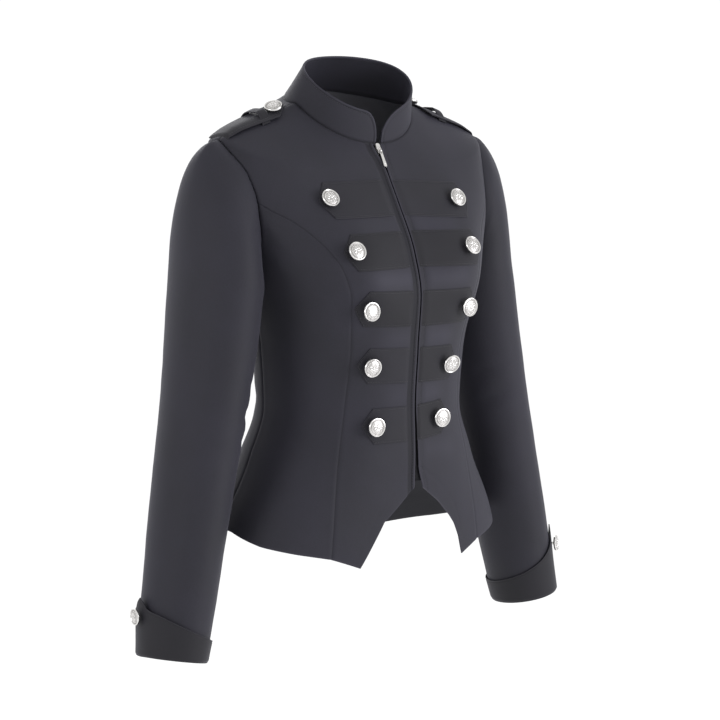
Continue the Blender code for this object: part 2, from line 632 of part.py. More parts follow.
def shoulder_height(x, y):
    a, v = on_top(x, y)
    return body(a, v)[..., 2]


def strap_middle(x):
    """y of a strap's middle line."""
    return STRAP_Y - STRAP_TURN * (STRAP_OUT - x) / (STRAP_OUT - STRAP_IN)


def strap_gap(x, y):
    """How far the strap's underside stands off the shoulder: it lies flatter than the cloth under it."""
    t = np.clip((STRAP_OUT - x) / 0.035, 0, 1)
    free = t * t * (3 - 2 * t)  # 0 where it is sewn in at the sleeve, 1 where it is free
    drop = shoulder_height(x, strap_middle(x)) - shoulder_height(x, y)
    return REST + (STRAP_LIFT - REST + 0.15 * np.maximum(drop, 0)) * free


for side, tag in ((-1, "R"), (1, "L")):
    across = np.array([-1, -0.5, 0, 0.5, 1.0])
    point = STRAP_IN + 0.014 * np.abs(across) ** 1.2
    run = np.array([0, 0.08, 0.16, 0.26, 0.38, 0.5, 0.62, 0.75, 0.88, 1.0])
    half = STRAP_WIDE + (STRAP_NARROW - STRAP_WIDE) * run[None, :]
    y = STRAP_Y - STRAP_TURN * run[None, :] + half * across[:, None]
    out = STRAP_OUT - 6 * np.maximum(y[:, 0] - MIDDLE_Y, 0) ** 2  # the armhole curves away
    x = out[:, None] + (point - out)[:, None] * run[None, :]
    a, v = on_top(x, y)
    gap = strap_gap(x, y)
    wall(f"epaulette_{tag}", mirrored(off_body(a, v, gap + TRIM), side),
         mirrored(off_body(a, v, gap), side), GABARDINE)

    y = np.linspace(LOOP_FRONT, LOOP_BACK, 11)
    t = (y - LOOP_FRONT) / (LOOP_BACK - LOOP_FRONT)
    x = LOOP_X + LOOP_WIDTH * np.array([[-0.5], [0.5]])
    xx, yy = np.broadcast_arrays(x, y[None, :])
    foot = shoulder_height(xx, yy) + REST
    arch = LOOP_RISE * (1 - np.abs(2 * t - 1) ** 4)
    low = np.stack([xx, yy, foot + arch], -1)
    high = np.stack([xx, yy, foot + arch + 0.0014], -1)
    wall(f"epaulette_loop_{tag}", mirrored(high, side), mirrored(low, side), GABARDINE)

    spot = np.array([STRAP_BUTTON_X]), strap_middle(np.array([STRAP_BUTTON_X]))
    a, v = on_top(*spot)
    button(f"epaulette_button_{tag}", mirrored(off_body(a, v, strap_gap(*spot) + TRIM)[0], side),
           mirrored(normals(body, a, v)[0], side), CUFF_BUTTON_RADIUS, 0.0006)
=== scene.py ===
# %% [markdown]
# # A military-style blazer
#
# This lesson gives a fitted stand-collar jacket its looks in Blender. The jacket is shown
# filled out, as it hangs on a wearer, with nobody in it. Its plain solid parts are loaded
# first as a frame that says where every piece goes. Each cloth piece is then made again as
# a fine thin sheet on the same shape, with its seams, folds and stitches, and the metal
# pieces are turned and cut in detail.
#
# All sizes are in metres. +Z is up, the front faces -Y, and +X is the wearer's left, so
# "R" in a name is the wearer's right side and "L" the left.

# %% Load the frame
import math

import bmesh
import bpy
import numpy as np
from mathutils import Matrix, Vector


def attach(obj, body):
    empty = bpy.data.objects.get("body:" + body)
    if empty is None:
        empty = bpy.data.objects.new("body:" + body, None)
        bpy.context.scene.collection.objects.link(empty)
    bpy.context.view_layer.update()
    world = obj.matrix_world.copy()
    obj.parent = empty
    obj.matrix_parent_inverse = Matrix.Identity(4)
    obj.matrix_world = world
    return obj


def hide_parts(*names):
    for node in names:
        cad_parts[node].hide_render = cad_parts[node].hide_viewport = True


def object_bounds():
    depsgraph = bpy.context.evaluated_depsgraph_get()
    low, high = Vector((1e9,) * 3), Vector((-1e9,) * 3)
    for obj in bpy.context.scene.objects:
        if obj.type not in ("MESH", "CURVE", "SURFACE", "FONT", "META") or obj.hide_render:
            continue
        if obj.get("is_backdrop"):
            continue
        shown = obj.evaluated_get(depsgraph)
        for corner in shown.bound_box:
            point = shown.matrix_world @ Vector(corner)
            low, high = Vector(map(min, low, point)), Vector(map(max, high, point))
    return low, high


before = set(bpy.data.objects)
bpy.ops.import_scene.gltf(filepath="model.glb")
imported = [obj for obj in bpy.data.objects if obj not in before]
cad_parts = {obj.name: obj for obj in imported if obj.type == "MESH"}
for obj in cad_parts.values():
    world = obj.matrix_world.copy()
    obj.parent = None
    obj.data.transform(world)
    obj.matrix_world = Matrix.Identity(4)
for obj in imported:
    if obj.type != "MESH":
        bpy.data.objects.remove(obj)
cad_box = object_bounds()
SIDES = ((-1, "R"), (1, "L"))  # the side's sign on x, and its letter in names
print("frame box", [round(c, 4) for corner in cad_box for c in corner])

# %% [markdown]
# ## The camera
#
# The picture looks at the jacket from its right front, a little from above, with a long
# lens. A long lens a few metres away keeps the two shoulders almost the same size. The
# camera comes first, so that every piece can be judged in its view while it is made.

# %% Camera
AZIMUTH, ELEVATION, DISTANCE = math.radians(-39.6), math.radians(6.1), 3.0
LOOK_AT = Vector((0.020, 0.0, -0.259))

camera = bpy.data.objects.new("camera", bpy.data.cameras.new("camera"))
bpy.context.scene.collection.objects.link(camera)
towards = Vector((math.sin(AZIMUTH) * math.cos(ELEVATION), -math.cos(AZIMUTH) * math.cos(ELEVATION),
                  math.sin(ELEVATION)))
camera.location = LOOK_AT + towards * DISTANCE
camera.rotation_euler = (-towards).to_track_quat("-Z", "Y").to_euler()
camera.data.lens, camera.data.sensor_width = 129.15, 36.0
bpy.context.scene.camera = camera
print("camera at", [round(c, 3) for c in camera.location])

# %% [markdown]
# ## Light and floor
#
# The jacket was lit for a catalogue: white all round, a big soft light in front and to
# the picture's right, and weaker ones on the left and behind. The floor is where a wearer would
# stand, well below the hem, so its shadow falls outside the view. The Standard view
# transform keeps the white white and the dark cloth dark.

# %% Studio
scene = bpy.context.scene
scene.view_settings.view_transform = "Standard"
scene.view_settings.look = "None"

world = bpy.data.worlds.new("studio white")
scene.world = world
world.use_nodes = True
world.node_tree.nodes["Background"].inputs["Color"].default_value = (1.0, 1.0, 1.0, 1)
world.node_tree.nodes["Background"].inputs["Strength"].default_value = 1.05


def softbox(name, place, aim, size, power, colour=(1, 1, 1)):
    """A square area light at a place, turned to look at a point."""
    data = bpy.data.lights.new(name, "AREA")
    data.shape, data.size, data.energy, data.color = "SQUARE", size, power, colour
    lamp = bpy.data.objects.new(name, data)
    scene.collection.objects.link(lamp)
    lamp.location = Vector(place)
    lamp.rotation_euler = (Vector(aim) - Vector(place)).to_track_quat("-Z", "Y").to_euler()


softbox("key light", (1.5, -2.4, 0.05), (0.0, 0.0, -0.25), 1.5, 48.0, (0.97, 0.96, 1.0))
softbox("side light", (-2.9, -0.25, 0.3), (0.0, 0.0, -0.28), 0.9, 16.0, (0.99, 0.97, 1.0))
softbox("back light", (0.8, 2.6, 1.2), (0.0, 0.0, -0.15), 1.6, 16.0)

FLOOR_Z = -1.42
bm = bmesh.new()
bmesh.ops.create_grid(bm, x_segments=1, y_segments=1, size=30.0)
bmesh.ops.translate(bm, verts=bm.verts, vec=(0, 0, FLOOR_Z))
mesh = bpy.data.meshes.new("floor")
bm.to_mesh(mesh)
bm.free()
floor = bpy.data.objects.new("floor", mesh)
scene.collection.objects.link(floor)
floor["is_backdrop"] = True

# %% [markdown]
# ## Shader sums in plain Python
#
# A material is a web of nodes, but most of it is arithmetic. Wrapping a node's output in
# a small class with operators lets a finish be written as a formula, which is shorter to
# read than the links it makes. Everything else comes from one method, `node`.

# %% Look and Wire
class Wire:
    """An output of a shader node that can be used in sums."""

    def __init__(self, look, socket):
        self.look, self.socket = look, socket

    def sum(self, operation, *terms):
        return self.look.node("ShaderNodeMath", {"operation": operation}, dict(enumerate(terms)))

    def __add__(self, other):
        return self.sum("ADD", self, other)

    def __sub__(self, other):
        return self.sum("SUBTRACT", self, other)

    def __rsub__(self, other):
        return self.sum("SUBTRACT", other, self)

    def __mul__(self, other):
        return self.sum("MULTIPLY", self, other)

    __radd__, __rmul__ = __add__, __mul__

    def clamp(self):
        return self.sum("MINIMUM", self.sum("MAXIMUM", self, 0.0), 1.0)

    def sine(self):
        return self.sum("SINE", self)


class Look:
    """A material with a Principled shader."""

    def __init__(self, name, **fixed):
        self.material = bpy.data.materials.new(name)
        self.material.use_nodes = True
        self.tree = self.material.node_tree
        self.shader = self.tree.nodes["Principled BSDF"]
        for socket, value in fixed.items():
            self.shader.inputs[socket.replace("_", " ")].default_value = value
        base = fixed.get("Base_Color")
        if base:
            self.material.diffuse_color = base

    def node(self, kind, settings=None, inputs=None, output=0):
        made = self.tree.nodes.new(kind)
        for key, value in (settings or {}).items():
            setattr(made, key, value)
        for key, value in (inputs or {}).items():
            if isinstance(value, Wire):
                self.tree.links.new(value.socket, made.inputs[key])
            else:
                made.inputs[key].default_value = value
        return Wire(self, made.outputs[output])

    def to(self, socket, wire):
        self.tree.links.new(wire.socket, self.shader.inputs[socket])

    def mix(self, share, a, b):
        """A colour between a and b."""
        return self.node("ShaderNodeMix", {"data_type": "RGBA"}, {0: share, 6: a, 7: b}, 2)

    def bump(self, height, distance, strength):
        return self.node("ShaderNodeBump", None,
                         {"Height": height, "Distance": distance, "Strength": strength})


print("shader helpers ready")

# %% [markdown]
# ## Gabardine
#
# The cloth is a tightly woven, very dark slate gabardine: steep fine ribs about 0.6 mm
# apart, a faint sheen and a bluish cast where it is lit. The ribs are a sine wave across
# the cloth's own UV map, which is in metres, so they follow each piece's grain. A little
# noise breaks up the ribs and the colour, as dyed yarn does. Each piece also carries a
# number called "seam" on its points: 1 down in a seam or along a stitch, 0 on open cloth.
# The cloth is painted darker there, as painted shade in the groove. A second number paints
# it lighter on pressed edges, partly as wear and partly as a painted highlight, and between
# the front bands, where it is a painted highlight.

# %% Gabardine look
NECK_LIGHT_DEPTH, NECK_LIGHT_BLEND = 0.075, 20.0  # how far down the painted neck light reaches, and how fast it ends


def gabardine(name, dark, light, rib=0.00062, wear_and_highlight_strength=0.25, sheen=0.07, gloss=0.16, painted_neck_light=None):
    look = Look(name, Sheen_Weight=sheen, Sheen_Roughness=0.45, Sheen_Tint=(0.80, 0.80, 1.0, 1),
                Specular_IOR_Level=gloss)
    place = look.node("ShaderNodeTexCoord", output=2)
    solid = look.node("ShaderNodeTexCoord", output=3)
    split = look.node("ShaderNodeSeparateXYZ", None, {0: place})
    u, v = split, Wire(look, split.socket.node.outputs[1])
    steep = 2 * math.pi / rib
    ribs = (u * (0.88 * steep) + v * (-0.47 * steep)).sine() * 0.5 + 0.5
    cross = (u * (0.30 * steep) + v * (0.95 * steep)).sine() * 0.5 + 0.5
    yarn = look.node("ShaderNodeTexNoise", None, {"Vector": solid, "Scale": 900.0, "Detail": 2.0})
    cloud = look.node("ShaderNodeTexNoise", None, {"Vector": solid, "Scale": 11.0, "Detail": 3.0,
                                                  "Roughness": 0.55})
    seam = look.node("ShaderNodeAttribute", {"attribute_name": "seam"}, output=2)
    wear_and_highlight = look.node("ShaderNodeAttribute", {"attribute_name": "wear_and_highlight"}, output=2)
    share = ((cloud - 0.5) * 1.4 + (yarn - 0.5) * 1.1 + ribs * 0.16 + 0.42).clamp()
    colour = look.mix(share, dark, light)
    # Lighter by the second number: wear on pressed edges, and painted highlight on edges and between the
    # front bands.
    colour = look.mix((wear_and_highlight * wear_and_highlight_strength).clamp(), colour, tuple(min(1, 2.4 * c) for c in light[:3]) + (1,))
    # Painted shade: darker down in seams and along stitches.
    colour = look.mix((seam * 0.72).clamp(), colour, tuple(0.28 * c for c in dark[:3]) + (1,))
    if painted_neck_light:  # painted light: the inside is painted paler towards the neck, where it lies in shade
        split = look.node("ShaderNodeSeparateXYZ", None, {0: solid})
        height = Wire(look, split.socket.node.outputs[2])
        colour = look.mix(((height + NECK_LIGHT_DEPTH) * NECK_LIGHT_BLEND).clamp(), colour, painted_neck_light)
    look.to("Base Color", colour)
    look.to("Roughness", (cloud - 0.5) * 0.16 + (yarn - 0.5) * 0.10 + ribs * 0.05 + 0.58)
    look.to("Normal", look.bump(ribs * 0.7 + cross * 0.3 + yarn * 0.6, 0.00006, 0.55))
    look.material.diffuse_color = light
    return look.material


CLOTH = gabardine("slate gabardine", (0.0155, 0.0153, 0.0195, 1), (0.0235, 0.0226, 0.0315, 1))
# The insides get a paler copy of the cloth: painted light, which makes up for the shade inside the jacket.
PALER_INSIDE = gabardine("inside cloth, painted paler", (0.0200, 0.0202, 0.0240, 1), (0.0270, 0.0270, 0.0325, 1), rib=0.0008,
                   wear_and_highlight_strength=0.0, sheen=0.12, gloss=0.20, painted_neck_light=(0.090, 0.090, 0.103, 1))
# The bands, cuffs and straps get a darker, slightly warmer copy of the cloth: the warmer grey is their tone,
# the darker value painted shade for the weaker sheen of ribs that run across. The second copy is less shaded,
# painted for bands that stand in more light.
CROSSWISE_TONE_AND_SHADE = gabardine("cross-cut gabardine", (0.0120, 0.0117, 0.0138, 1), (0.0168, 0.0163, 0.0200, 1))
CROSSWISE_TONE_LESS_SHADE = gabardine("cross-cut gabardine in less shade", (0.0140, 0.0137, 0.0166, 1),
                      (0.0205, 0.0198, 0.0255, 1))
print("cloth looks", CLOTH.name, PALER_INSIDE.name, CROSSWISE_TONE_AND_SHADE.name, CROSSWISE_TONE_LESS_SHADE.name)

# %% [markdown]
# ## Stitching thread, zip tape and silver
#
# The thread matches the cloth and only shines a little more. The zip's tape is a plain
# black ribbon with a crosswise rib. The buttons, slider and pull are a bright cast metal
# with a soft polish: high places are smooth and pale, and low places are rougher and
# painted grey as painted shade.

# %% Thread, tape and silver looks
def tape():
    look = Look("zip tape", Specular_IOR_Level=0.10)
    place = look.node("ShaderNodeTexCoord", output=2)
    split = look.node("ShaderNodeSeparateXYZ", None, {0: place})
    u, v = split, Wire(look, split.socket.node.outputs[1])
    ribs = (v * (2 * math.pi / 0.0009)).sine() * (u * (2 * math.pi / 0.0011)).sine() * 0.5 + 0.5
    look.to("Base Color", look.mix(ribs, (0.004, 0.004, 0.005, 1), (0.009, 0.009, 0.011, 1)))
    look.to("Roughness", ribs * 0.12 + 0.62)
    look.to("Normal", look.bump(ribs, 0.00012, 0.8))
    return look.material


def silver():
    look = Look("cast silver", Metallic=1.0, Specular_IOR_Level=0.5)
    solid = look.node("ShaderNodeTexCoord", output=3)
    # The "low" value is painted shade in the hollows and behind the metal; dull mixes it with random tone.
    painted_shade = look.node("ShaderNodeAttribute", {"attribute_name": "low"}, output=2)
    pit = look.node("ShaderNodeTexNoise", None, {"Vector": solid, "Scale": 1500.0, "Detail": 3.0})
    cloud = look.node("ShaderNodeTexNoise", None, {"Vector": solid, "Scale": 260.0, "Detail": 2.0})
    dull = (painted_shade * 0.9 + (cloud - 0.5) * 0.9).clamp()
    look.to("Base Color", look.mix(dull, (0.64, 0.63, 0.615, 1), (0.21, 0.20, 0.195, 1)))
    look.to("Roughness", dull * 0.28 + (pit - 0.5) * 0.12 + 0.20)
    look.to("Normal", look.bump(pit * 0.6 + cloud * 0.4, 0.00005, 0.6))
    look.material.diffuse_color = (0.8, 0.79, 0.78, 1)
    return look.material


THREAD = Look("matching thread", Base_Color=(0.030, 0.030, 0.038, 1), Roughness=0.45,
              Sheen_Weight=0.1, Specular_IOR_Level=0.30).material
TAPE, SILVER = tape(), silver()
COIL = Look("nylon coil", Base_Color=(0.010, 0.010, 0.012, 1), Roughness=0.30,
            Specular_IOR_Level=0.5).material
PALE = Look("pale floor", Base_Color=(0.98, 0.98, 0.98, 1), Roughness=0.9,
            Specular_IOR_Level=0.1).material
floor.data.materials.append(PALE)
print("finishes", THREAD.name, TAPE.name, SILVER.name, COIL.name)

# %% [markdown]
# ## The body's shape
#
# A jacket on a figure is close to a stack of rings that change from hem to neck. The
# table below gives a few of them: how high each runs at the front, side and back, how
# wide and deep it is, and how square. Reading the table with a smooth curve in between
# gives a point of the surface for any two numbers: degrees round from the centre front,
# and a level from 0, below the hem, to 10, the neck seam. Every seam, band and button is
# then drawn in those two numbers.

# %% Ring table and smooth reading
BODY = [  # level, z front, z side, z back, half width, y front, y back, squareness front, back
    (0, -0.520, -0.520, -0.520, 0.203, -0.121, 0.112, 2.25, 2.0),
    (1, -0.445, -0.445, -0.445, 0.189, -0.121, 0.104, 2.25, 2.0),
    (2, -0.365, -0.365, -0.365, 0.149, -0.122, 0.085, 2.25, 2.0),
    (3, -0.300, -0.300, -0.300, 0.1255, -0.121, 0.068, 2.30, 2.0),
    (4, -0.235, -0.235, -0.235, 0.129, -0.125, 0.072, 2.35, 2.0),
    (5, -0.178, -0.180, -0.180, 0.139, -0.129, 0.084, 2.50, 2.1),
    (6, -0.125, -0.140, -0.135, 0.153, -0.117, 0.094, 2.90, 2.2),
    (7, -0.075, -0.085, -0.075, 0.175, -0.092, 0.098, 3.20, 2.4),
    (8, -0.038, -0.002, -0.013, 0.185, -0.072, 0.086, 2.40, 2.2),
    (8.3, -0.032, 0.0075, 0.001, 0.170, -0.069, 0.080, 2.30, 2.2),
    (9, -0.020, 0.0215, 0.030, 0.132, -0.063, 0.070, 2.10, 2.1),
    (10, -0.007, 0.0385, 0.054, 0.0810, -0.056, 0.058, 2.0, 2.0),
]
Z_FRONT, Z_SIDE, HALF_WIDTH, Y_FRONT = 1, 2, 4, 5  # columns of the table
MIDDLE_Y = -0.005
BUST_X, BUST_Z, BUST_RISE, BUST_SPREAD = 0.086, -0.145, 0.017, 0.040
SLOPE_FRONT, SLOPE_BACK = 1.1, 1.2
UNDERARM, SHOULDER, NECK = 6.0, 8.0, 10.0


def smooth(rows, x, column):
    """A smooth curve through a table's rows, read at x, that never overshoots them."""
    at = np.array([row[0] for row in rows], float)
    y = np.array([row[column] for row in rows], float)
    if at[0] > at[-1]:
        at, y = at[::-1], y[::-1]
    x = np.clip(np.asarray(x, float), at[0], at[-1])
    steps = np.diff(y) / np.diff(at)
    a, b = steps[:-1], steps[1:]
    between = np.where(a * b > 0, 2 * a * b / np.where(a + b == 0, 1, a + b), 0.0)
    slope = np.concatenate([steps[:1], between, steps[-1:]])
    i = np.clip(np.searchsorted(at, x, side="right") - 1, 0, len(at) - 2)
    h = at[i + 1] - at[i]
    t = (x - at[i]) / h
    return ((2 * t**3 - 3 * t**2 + 1) * y[i] + (t**3 - 2 * t**2 + t) * h * slope[i]
            + (3 * t**2 - 2 * t**3) * y[i + 1] + (t**3 - t**2) * h * slope[i + 1])


print("waist half width", float(smooth(BODY, 3, HALF_WIDTH)))

# %% Body surface
def fall(share, power):
    """How far a ring has dropped from the shoulder line: 0 on it, 1 at the middle."""
    round_off = 0.08
    s = (np.hypot(np.minimum(share, 1.0), round_off) - round_off) / (np.hypot(1, round_off) - round_off)
    return s**power


def body(angle, level):
    """A point on the outside of the body."""
    a, level = np.radians(np.asarray(angle, float)), np.asarray(level, float)
    front, side, back, wide, y0, y1, n0, n1 = (smooth(BODY, level, k) for k in range(1, 9))
    c, s = np.cos(a), np.sin(a)
    n = np.where(c > 0, n0, n1)
    deep = np.where(c > 0, MIDDLE_Y - y0, y1 - MIDDLE_Y)
    r = (np.abs(c / deep) ** n + np.abs(s / wide) ** n) ** (-1 / n)
    x = r * s
    share = np.abs(r * c) / deep
    z = side + np.where(c > 0, (front - side) * fall(share, SLOPE_FRONT),
                        (back - side) * fall(share, SLOPE_BACK))
    bust = BUST_RISE * np.exp(-((np.abs(x) - BUST_X) ** 2 + (z - BUST_Z) ** 2) / (2 * BUST_SPREAD**2))
    y = MIDDLE_Y - r * c - np.where(c > 0, bust * c, 0)
    return np.stack([x, y, z], -1)


def normals(surface, u, v, du=0.05, dv=0.002):
    """Unit normals of a surface of two numbers, pointing out."""
    n = np.cross(surface(u + du, v) - surface(u - du, v), surface(u, v + dv) - surface(u, v - dv))
    return n / np.maximum(np.linalg.norm(n, axis=-1, keepdims=True), 1e-12)


def body_normals(angle, level):
    """The body's normals, read just inside the table's ends."""
    return normals(body, angle, np.clip(level, 0.01, 9.99))


def off_body(angle, level, away):
    """A point that far off the body, along its normal."""
    angle, level = np.broadcast_arrays(np.asarray(angle, float), np.asarray(level, float))
    return body(angle, level) + body_normals(angle, level) * np.asarray(away, float)[..., None]


def find(axes, target, angle, level):
    """The degrees and level whose point has the target's coordinates along two axes."""
    angle, level = np.array(angle, float), np.array(level, float)
    axes = list(axes)
    for _ in range(24):
        here = body(angle, level)[..., axes]
        da = (body(angle + 0.1, level)[..., axes] - here) / 0.1
        dl = (body(angle, level + 0.01)[..., axes] - here) / 0.01
        miss = target - here
        det = da[..., 0] * dl[..., 1] - da[..., 1] * dl[..., 0]
        det = np.where(np.abs(det) < 1e-12, 1e-12, det)
        angle += np.clip((miss[..., 0] * dl[..., 1] - miss[..., 1] * dl[..., 0]) / det, -6, 6)
        level += np.clip((da[..., 0] * miss[..., 1] - da[..., 1] * miss[..., 0]) / det, -0.4, 0.4)
        level = np.clip(level, 0.0, 10.0)
    return angle, level


def on_front(x, z):
    """The degrees and level of the front at x and z."""
    x, z = np.broadcast_arrays(np.asarray(x, float), np.asarray(z, float))
    levels = np.linspace(0, 10, 201)
    level = np.interp(z, smooth(BODY, levels, Z_FRONT), levels)
    return find((0, 2), np.stack([x, z], -1), np.degrees(np.arctan2(x, 0.11)), level)


print("chest point", [round(float(c), 4) for c in body(np.array(30.0), np.array(5.5))])

# %% Seam tables
FRONT_SEAM = [(0, 49), (1, 46.5), (2, 45), (3, 42), (4, 39), (4.9, 40.3), (5.7, 45),
              (6.1, 49.8), (6.4, 55), (6.75, 62.5), (7.04, 70.5), (7.16, 73.8)]
BACK_SEAM = [(0, 146), (1, 147), (2, 149), (3, 151), (4, 150), (5, 146), (6, 138),
             (6.6, 130), (6.9, 122.5), (7.1, 115), (7.16, 112.6)]
ARM_FRONT = [(6, 90), (6.08, 84.5), (6.25, 78.5), (6.55, 74.6), (6.8, 74.0), (7.1, 74.2),
             (7.25, 74.8), (7.4, 75.9), (7.55, 77.5), (7.68, 79.2), (7.8, 82.4), (7.9, 86), (8, 90)]
ARM_BACK = [(6, 90), (6.08, 97), (6.25, 104), (6.55, 110), (6.9, 113), (7.2, 112.5),
            (7.5, 109), (7.75, 102), (7.9, 96), (8, 90)]
SEAMS_END = 7.15
HEM = [(0, -0.391), (20.4, -0.427), (34.1, -0.477), (47.5, -0.464), (60, -0.457), (72, -0.449),
       (86, -0.434), (94, -0.436), (106, -0.441), (125, -0.452), (146, -0.473), (162, -0.485),
       (180, -0.490)]  # degrees and z of the right half
HEM_LEFT = [(0, -0.388), (6, -0.393), (17, -0.410), (26.5, -0.430), (30, -0.440), (33, -0.455),
            (35.5, -0.477), (47.5, -0.464), (60, -0.457), (72, -0.451), (86, -0.449), (94, -0.455),
            (106, -0.4625), (118, -0.468), (135, -0.476), (150, -0.484), (180, -0.490)]
HEM_POINT = {-1: 34.1, 1: 35.5}
EDGES = [(0, 0.0003, 0.0130), (1.64, 0.0003, 0.0115), (1.78, 0.0003, 0.0080), (1.95, 0.0003, 0.0048),
         (2.3, 0.0003, 0.0034), (3.3, 0.0003, 0.0016), (7.8, 0.0003, 0.0012), (8.4, 0.0020, 0.0014),
         (9.1, 0.0058, 0.0022), (10, 0.0085, 0.0034)]  # level, x right, x left


def hem_level(angle, side=-1):
    """The level at which the body is as high as the hem, whose cutaway is curved on the left."""
    rows = HEM_LEFT if side > 0 else HEM
    z = np.interp(np.abs(angle), [row[0] for row in rows], [row[1] for row in rows])
    levels = np.linspace(0, 2, 41)
    return np.interp(z, smooth(BODY, levels, Z_SIDE), levels)


def front_edge(level, side):
    x = smooth(EDGES, level, 1 if side < 0 else 2)
    return np.degrees(np.arctan2(x, MIDDLE_Y - smooth(BODY, level, Y_FRONT)))


def front_outer(v):
    """The side edge of a centre front: princess seam, armhole, then shoulder seam."""
    v = np.asarray(v, float)
    up = np.where(v > SHOULDER, 90.0, smooth(ARM_FRONT, v, 1))
    return np.where(v < SEAMS_END, smooth(FRONT_SEAM, np.minimum(v, SEAMS_END), 1), up)


def back_outer(v):
    v = np.asarray(v, float)
    up = np.where(v > SHOULDER, 90.0, smooth(ARM_BACK, v, 1))
    return np.where(v < SEAMS_END, smooth(BACK_SEAM, np.minimum(v, SEAMS_END), 1), up)


def arm_or_side(table):
    """A side panel's outer edge: the side seam, then the armhole."""
    return lambda v: np.where(np.asarray(v) < UNDERARM, 90.0, smooth(table, v, 1))


print("hem levels", [round(float(hem_level(a)), 2) for a in (0, 34, 90, 180)])

# %% [markdown]
# ## Folds
#
# Real cloth is never quite even. Long soft undulations run over all of it, and a few
# creases sit where the cloth is pushed together or pulled: at the elbow's inside, under
# the arms and at the waist. Each crease is a short line in space with a width and a
# depth, and any cloth within reach of it is pushed in. They differ from side to side.

# %% Creases
CREASES = [  # start, end, half width, depth
    ((-0.172, -0.064, -0.080), (-0.150, -0.088, -0.118), 0.006, 0.0012),
    ((-0.168, -0.058, -0.104), (-0.142, -0.080, -0.150), 0.007, 0.0010),
    ((0.172, -0.062, -0.084), (0.148, -0.090, -0.122), 0.006, 0.0011),
    ((0.166, 0.050, -0.090), (0.140, 0.084, -0.130), 0.008, 0.0014),
    ((-0.168, 0.052, -0.084), (-0.138, 0.086, -0.122), 0.008, 0.0015),
    ((-0.120, 0.020, -0.292), (-0.066, 0.064, -0.300), 0.008, 0.0016),
    ((0.118, 0.024, -0.286), (0.060, 0.066, -0.298), 0.008, 0.0015),
    ((0.020, 0.070, -0.276), (0.070, 0.064, -0.288), 0.008, 0.0012),
    ((-0.030, 0.070, -0.312), (-0.086, 0.060, -0.318), 0.007, 0.0011),
    ((-0.118, -0.030, -0.318), (-0.092, -0.082, -0.322), 0.008, 0.0009),
    ((0.120, -0.024, -0.312), (0.096, -0.078, -0.320), 0.007, 0.0010),
    ((-0.196, -0.060, -0.262), (-0.166, -0.036, -0.276), 0.006, 0.0016),
    ((-0.200, -0.064, -0.296), (-0.172, -0.040, -0.306), 0.007, 0.0019),
    ((-0.206, -0.062, -0.326), (-0.180, -0.036, -0.334), 0.006, 0.0013),
    ((0.194, -0.058, -0.270), (0.166, -0.034, -0.282), 0.006, 0.0015),
    ((0.200, -0.062, -0.304), (0.172, -0.038, -0.316), 0.007, 0.0018),
    ((-0.236, 0.040, -0.250), (-0.206, 0.054, -0.266), 0.009, 0.0012),
    ((0.236, 0.040, -0.262), (0.204, 0.054, -0.276), 0.009, 0.0012),
    ((-0.226, 0.040, -0.360), (-0.252, 0.030, -0.372), 0.008, 0.0011),
    ((0.232, -0.052, -0.462), (0.262, -0.052, -0.478), 0.008, 0.0008),
    ((-0.262, -0.052, -0.452), (-0.232, -0.050, -0.466), 0.008, 0.0009),
]


def undulation(p):
    """Slow unevenness over the whole jacket."""
    x, y, z = (p[..., k] for k in range(3))
    return (0.00030 * np.sin(58 * x + 31 * z + 1.3) * np.sin(44 * y - 25 * z + 0.4)
            + 0.00024 * np.sin(23 * x - 71 * z + 2.1) * np.sin(38 * y + 19 * x)
            + 0.00012 * np.sin(120 * x + 64 * z) * np.sin(97 * z - 83 * y + 0.9))


def folds(p):
    """How far the cloth at p is pushed out (above 0) or in."""
    out = undulation(p)
    for start, end, wide, deep in CREASES:
        a, run = np.array(start), np.array(end) - np.array(start)
        t = np.clip(((p - a) @ run) / (run @ run), 0, 1)
        away = np.linalg.norm(p - a - t[..., None] * run, axis=-1)
        near = np.exp(-((away / wide) ** 2))
        lip = np.exp(-(((away - 1.9 * wide) / (0.9 * wide)) ** 2))
        out += deep * (0.35 * lip - near) * (0.35 + 0.65 * np.sin(np.pi * t))
    return out


print(len(CREASES), "creases, the deepest", max(row[3] for row in CREASES) * 1000, "mm")

# %% [markdown]
# ## One way to make every cloth piece
#
# A piece of cloth starts as Blender's flat grid, made by `bmesh.ops.create_grid`. The
# grid's two directions are the cloth's own, so its UV map is laid in metres before the
# points are moved onto the jacket. A Solidify modifier then gives it its thickness
# inwards, with a paler copy of the cloth inside, whose paleness is painted light, and a
# small Bevel rounds its cut edges.

# %% Cloth maker
def spread(t, knots, shares, tight=0.8):
    """Reads 0 to 1 as steps that are fine next to each knot, so that seams get small faces."""
    knots, shares = np.asarray(knots, float) / knots[-1], np.asarray(shares, float)
    i = np.clip(np.searchsorted(knots, t, side="right") - 1, 0, len(knots) - 2)
    s = (t - knots[i]) / (knots[i + 1] - knots[i])
    s = s - tight * np.sin(2 * np.pi * s) / (2 * np.pi)
    return shares[i] + (shares[i + 1] - shares[i]) * s


def finish_piece(name, bm, looks, body_name="jacket", smooth_under=40.0):
    """Turns a bmesh into an object that rides on one of the bodies."""
    mesh = bpy.data.meshes.new(name)
    bm.to_mesh(mesh)
    bm.free()
    for look in looks:
        mesh.materials.append(look)
    mesh.shade_smooth()
    mesh.set_sharp_from_angle(angle=math.radians(smooth_under))
    piece = bpy.data.objects.new(name, mesh)
    scene.collection.objects.link(piece)
    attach(piece, body_name)
    return piece


